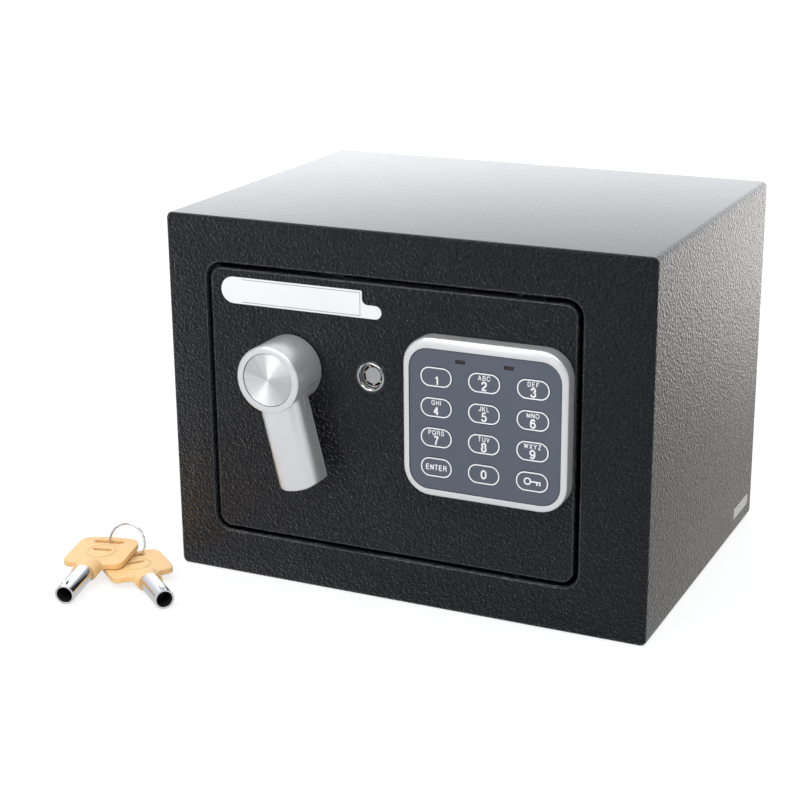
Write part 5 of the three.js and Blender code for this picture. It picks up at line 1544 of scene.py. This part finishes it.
@dataclass
class Studio:
    """The camera, the lamps, the floor and the surroundings.

    Attributes:
        eye: Where the camera stands.
        right: The camera's right.
        up: The camera's up.
        lens: Its focal length.
        film: Width of its film.
        lamps: The lamps.
        aim: The point they face.
        front: Brightness of the surroundings in front of the safe.
        back: Brightness behind it.
        above: Brightness straight above it.
        rightward: Brightness to its right.
        turn: Where front goes over into back, as the Y of the way there.
        side: Where the brightness above and to the right sets in, as the Z or X of the way there.
        floor_size: Side of the floor.
        floor_at: Its middle.
        floor_grey: The darkest and lightest grey of its clouds.
        floor_clouds: Their scale.
        shade: Grey of the floor that the camera sees the lamps light and the safe shade.
        glow: How much that floor shines by itself, so that it comes out white.
        floor_front: Brightness of the floor in front of the safe, as mirrored.
        floor_foot: Brightness of the floor beside it, as mirrored, lower than in front: a painted shadow of the
            safe.
        foot: The Y from which, and to which, front goes over into foot.
        far: The Y from which, and to which, foot goes over into the brightness behind.
        tinted: The Y from which, and to which, cool goes over into warm.
        cool: Tint of the surroundings and of the floor in front.
        warm: Tint of the floor beside and behind the safe, as mirrored.
    """

    eye: Place = (0.32142, -0.76105, 0.33753)
    right: Place = (0.90459, 0.42618, -0.00916)
    up: Place = (-0.12305, 0.28163, 0.9516)
    lens: float = 81.29
    film: float = 36
    lamps: tuple[Lamp, ...] = (
        Lamp("key_lamp", (-0.5, -1.5, 0.5), 0.5, 5.2),
        Lamp("right_lamp", (0.55, -0.85, 1.15), 0.4, 3.1),
        Lamp("left_lamp", (-0.6, -0.65, 1.25), 0.4, 2.6),
    )
    aim: Place = (0, 0, 0.08)
    front: float = 0.33
    back: float = 1.44
    above: float = 1.4
    rightward: float = 0.78
    turn: tuple[float, float] = (-0.2, 0.9)
    side: tuple[float, float] = (0.6, 0.85)
    floor_size: float = 8
    floor_at: Place = (0, 1.5, -0.2 * MM)
    floor_grey: tuple[float, float] = (0.86, 0.9)
    floor_clouds: float = 3.0
    shade: float = 0.3
    glow: float = 0.76
    floor_front: float = 0.7
    floor_foot: float = 0.39
    foot: tuple[float, float] = (-0.14, -0.05)
    far: tuple[float, float] = (0.18, 0.8)
    tinted: tuple[float, float] = (-0.15, 0.0)
    cool: Color = (0.955, 0.972, 1.0)
    warm: Color = (1.0, 0.97, 0.93)

    def build(self) -> None:
        """Set up the studio."""
        self.place_camera()
        self.lay_floor()
        for lamp in self.lamps:
            lamp.hang(self.aim)
        self.light_world()
        bpy.context.scene.view_settings.view_transform = "Standard"

    def place_camera(self) -> None:
        """Stand the camera where the photograph was taken from."""
        data = bpy.data.cameras.new("camera")
        data.lens = self.lens
        data.sensor_width = self.film
        data.clip_start = 0.01
        camera = bpy.data.objects.new("camera", data)
        bpy.context.scene.collection.objects.link(camera)
        right = Vector(self.right).normalized()
        up = Vector(self.up)
        up = (up - right * up.dot(right)).normalized()
        turn = Matrix((right, up, right.cross(up))).transposed().to_4x4()
        camera.matrix_world = Matrix.Translation(self.eye) @ turn
        bpy.context.scene.camera = camera

    def lay_floor(self) -> None:
        """Lay a floor that the camera sees white with the safe's shadow, and shine sees fade to the front."""
        bpy.ops.mesh.primitive_plane_add(size=self.floor_size, location=self.floor_at)
        floor = bpy.context.object
        floor.name = "floor"
        material = bpy.data.materials.new("floor")
        graph = Graph.fresh(material)
        at = graph.node("ShaderNodeNewGeometry").outputs["Position"]
        tone = graph.spread(graph.noise(at, self.floor_clouds), *self.floor_grey)
        grey = graph.node("ShaderNodeCombineColor", {0: tone, 1: tone, 2: tone}).outputs[0]
        matt = graph.node("ShaderNodeBsdfDiffuse", {"Color": grey})
        weak = graph.node("ShaderNodeBsdfDiffuse", {"Color": (*[self.shade] * 3, 1)})
        white = graph.node("ShaderNodeEmission", {"Color": (1, 1, 1, 1), "Strength": self.glow})
        seen = graph.node("ShaderNodeAddShader", {0: weak.outputs[0], 1: white.outputs[0]})
        path = graph.node("ShaderNodeLightPath")
        unseen = graph.either(path.outputs["Is Glossy Ray"], matt, self.mirrored_floor(graph, at))
        graph.put_out("ShaderNodeOutputMaterial", graph.either(path.outputs["Is Camera Ray"], unseen, seen))
        floor.data.materials.append(material)

    def mirrored_floor(self, graph: Graph, at: Socket) -> Node:
        """Add the floor as shiny faces mirror it, a glow that dims beside the safe as a painted shadow.

        Args:
            graph: The floor's graph.
            at: The place on it.

        Returns:
            The shader's node.
        """
        y = graph.node("ShaderNodeSeparateXYZ", {0: at}).outputs["Y"]
        # Painted shadow: the glow drops from the front's brightness to floor_foot beside the safe.
        before = graph.fade(y, self.foot, self.floor_front, self.floor_foot)
        behind = graph.fade(y, self.far, 0.0, self.back - self.floor_foot)
        beside = graph.fade(y, self.tinted, 0.0, 1.0)
        tints = {0: beside, 6: (*self.cool, 1), 7: (*self.warm, 1)}
        tint = graph.node("ShaderNodeMix", tints, data_type="RGBA")
        strength = graph.math("ADD", before, behind)
        return graph.node("ShaderNodeEmission", {"Color": tint.outputs[2], "Strength": strength})

    def light_world(self) -> None:
        """Light the surroundings: white to the camera, bright behind the safe and dim in front of it."""
        world = bpy.data.worlds.new("surroundings")
        bpy.context.scene.world = world
        graph = Graph.fresh(world)
        way = graph.node("ShaderNodeTexCoord").outputs["Generated"]
        parts = graph.node("ShaderNodeSeparateXYZ", {0: way})
        level = graph.fade(parts.outputs["Y"], self.turn, self.front, self.back)
        high = graph.fade(parts.outputs["Z"], self.side, 0.0, self.above)
        right = graph.fade(parts.outputs["X"], self.side, 0.0, self.rightward)
        strength = graph.math("MAXIMUM", graph.math("MAXIMUM", level, high), right)
        light = graph.node("ShaderNodeBackground", {"Color": (*self.cool, 1), "Strength": strength})
        white = graph.node("ShaderNodeBackground", {"Color": (1, 1, 1, 1), "Strength": 1.0})
        path = graph.node("ShaderNodeLightPath")
        graph.put_out("ShaderNodeOutputWorld", graph.either(path.outputs["Is Camera Ray"], light, white))


def main() -> None:
    """Build the sub-assemblies in order, then the studio."""
    logging.basicConfig(level=logging.INFO)
    for part in (Case(), Door(), Handle(), Lock(), Keypad(), BoltWork(), OverrideKeys(), Studio()):
        before = len(bpy.data.objects)
        part.build()
        LOG.info("%s: %d objects added", type(part).__name__, len(bpy.data.objects) - before)


if __name__ == "__main__":
    main()
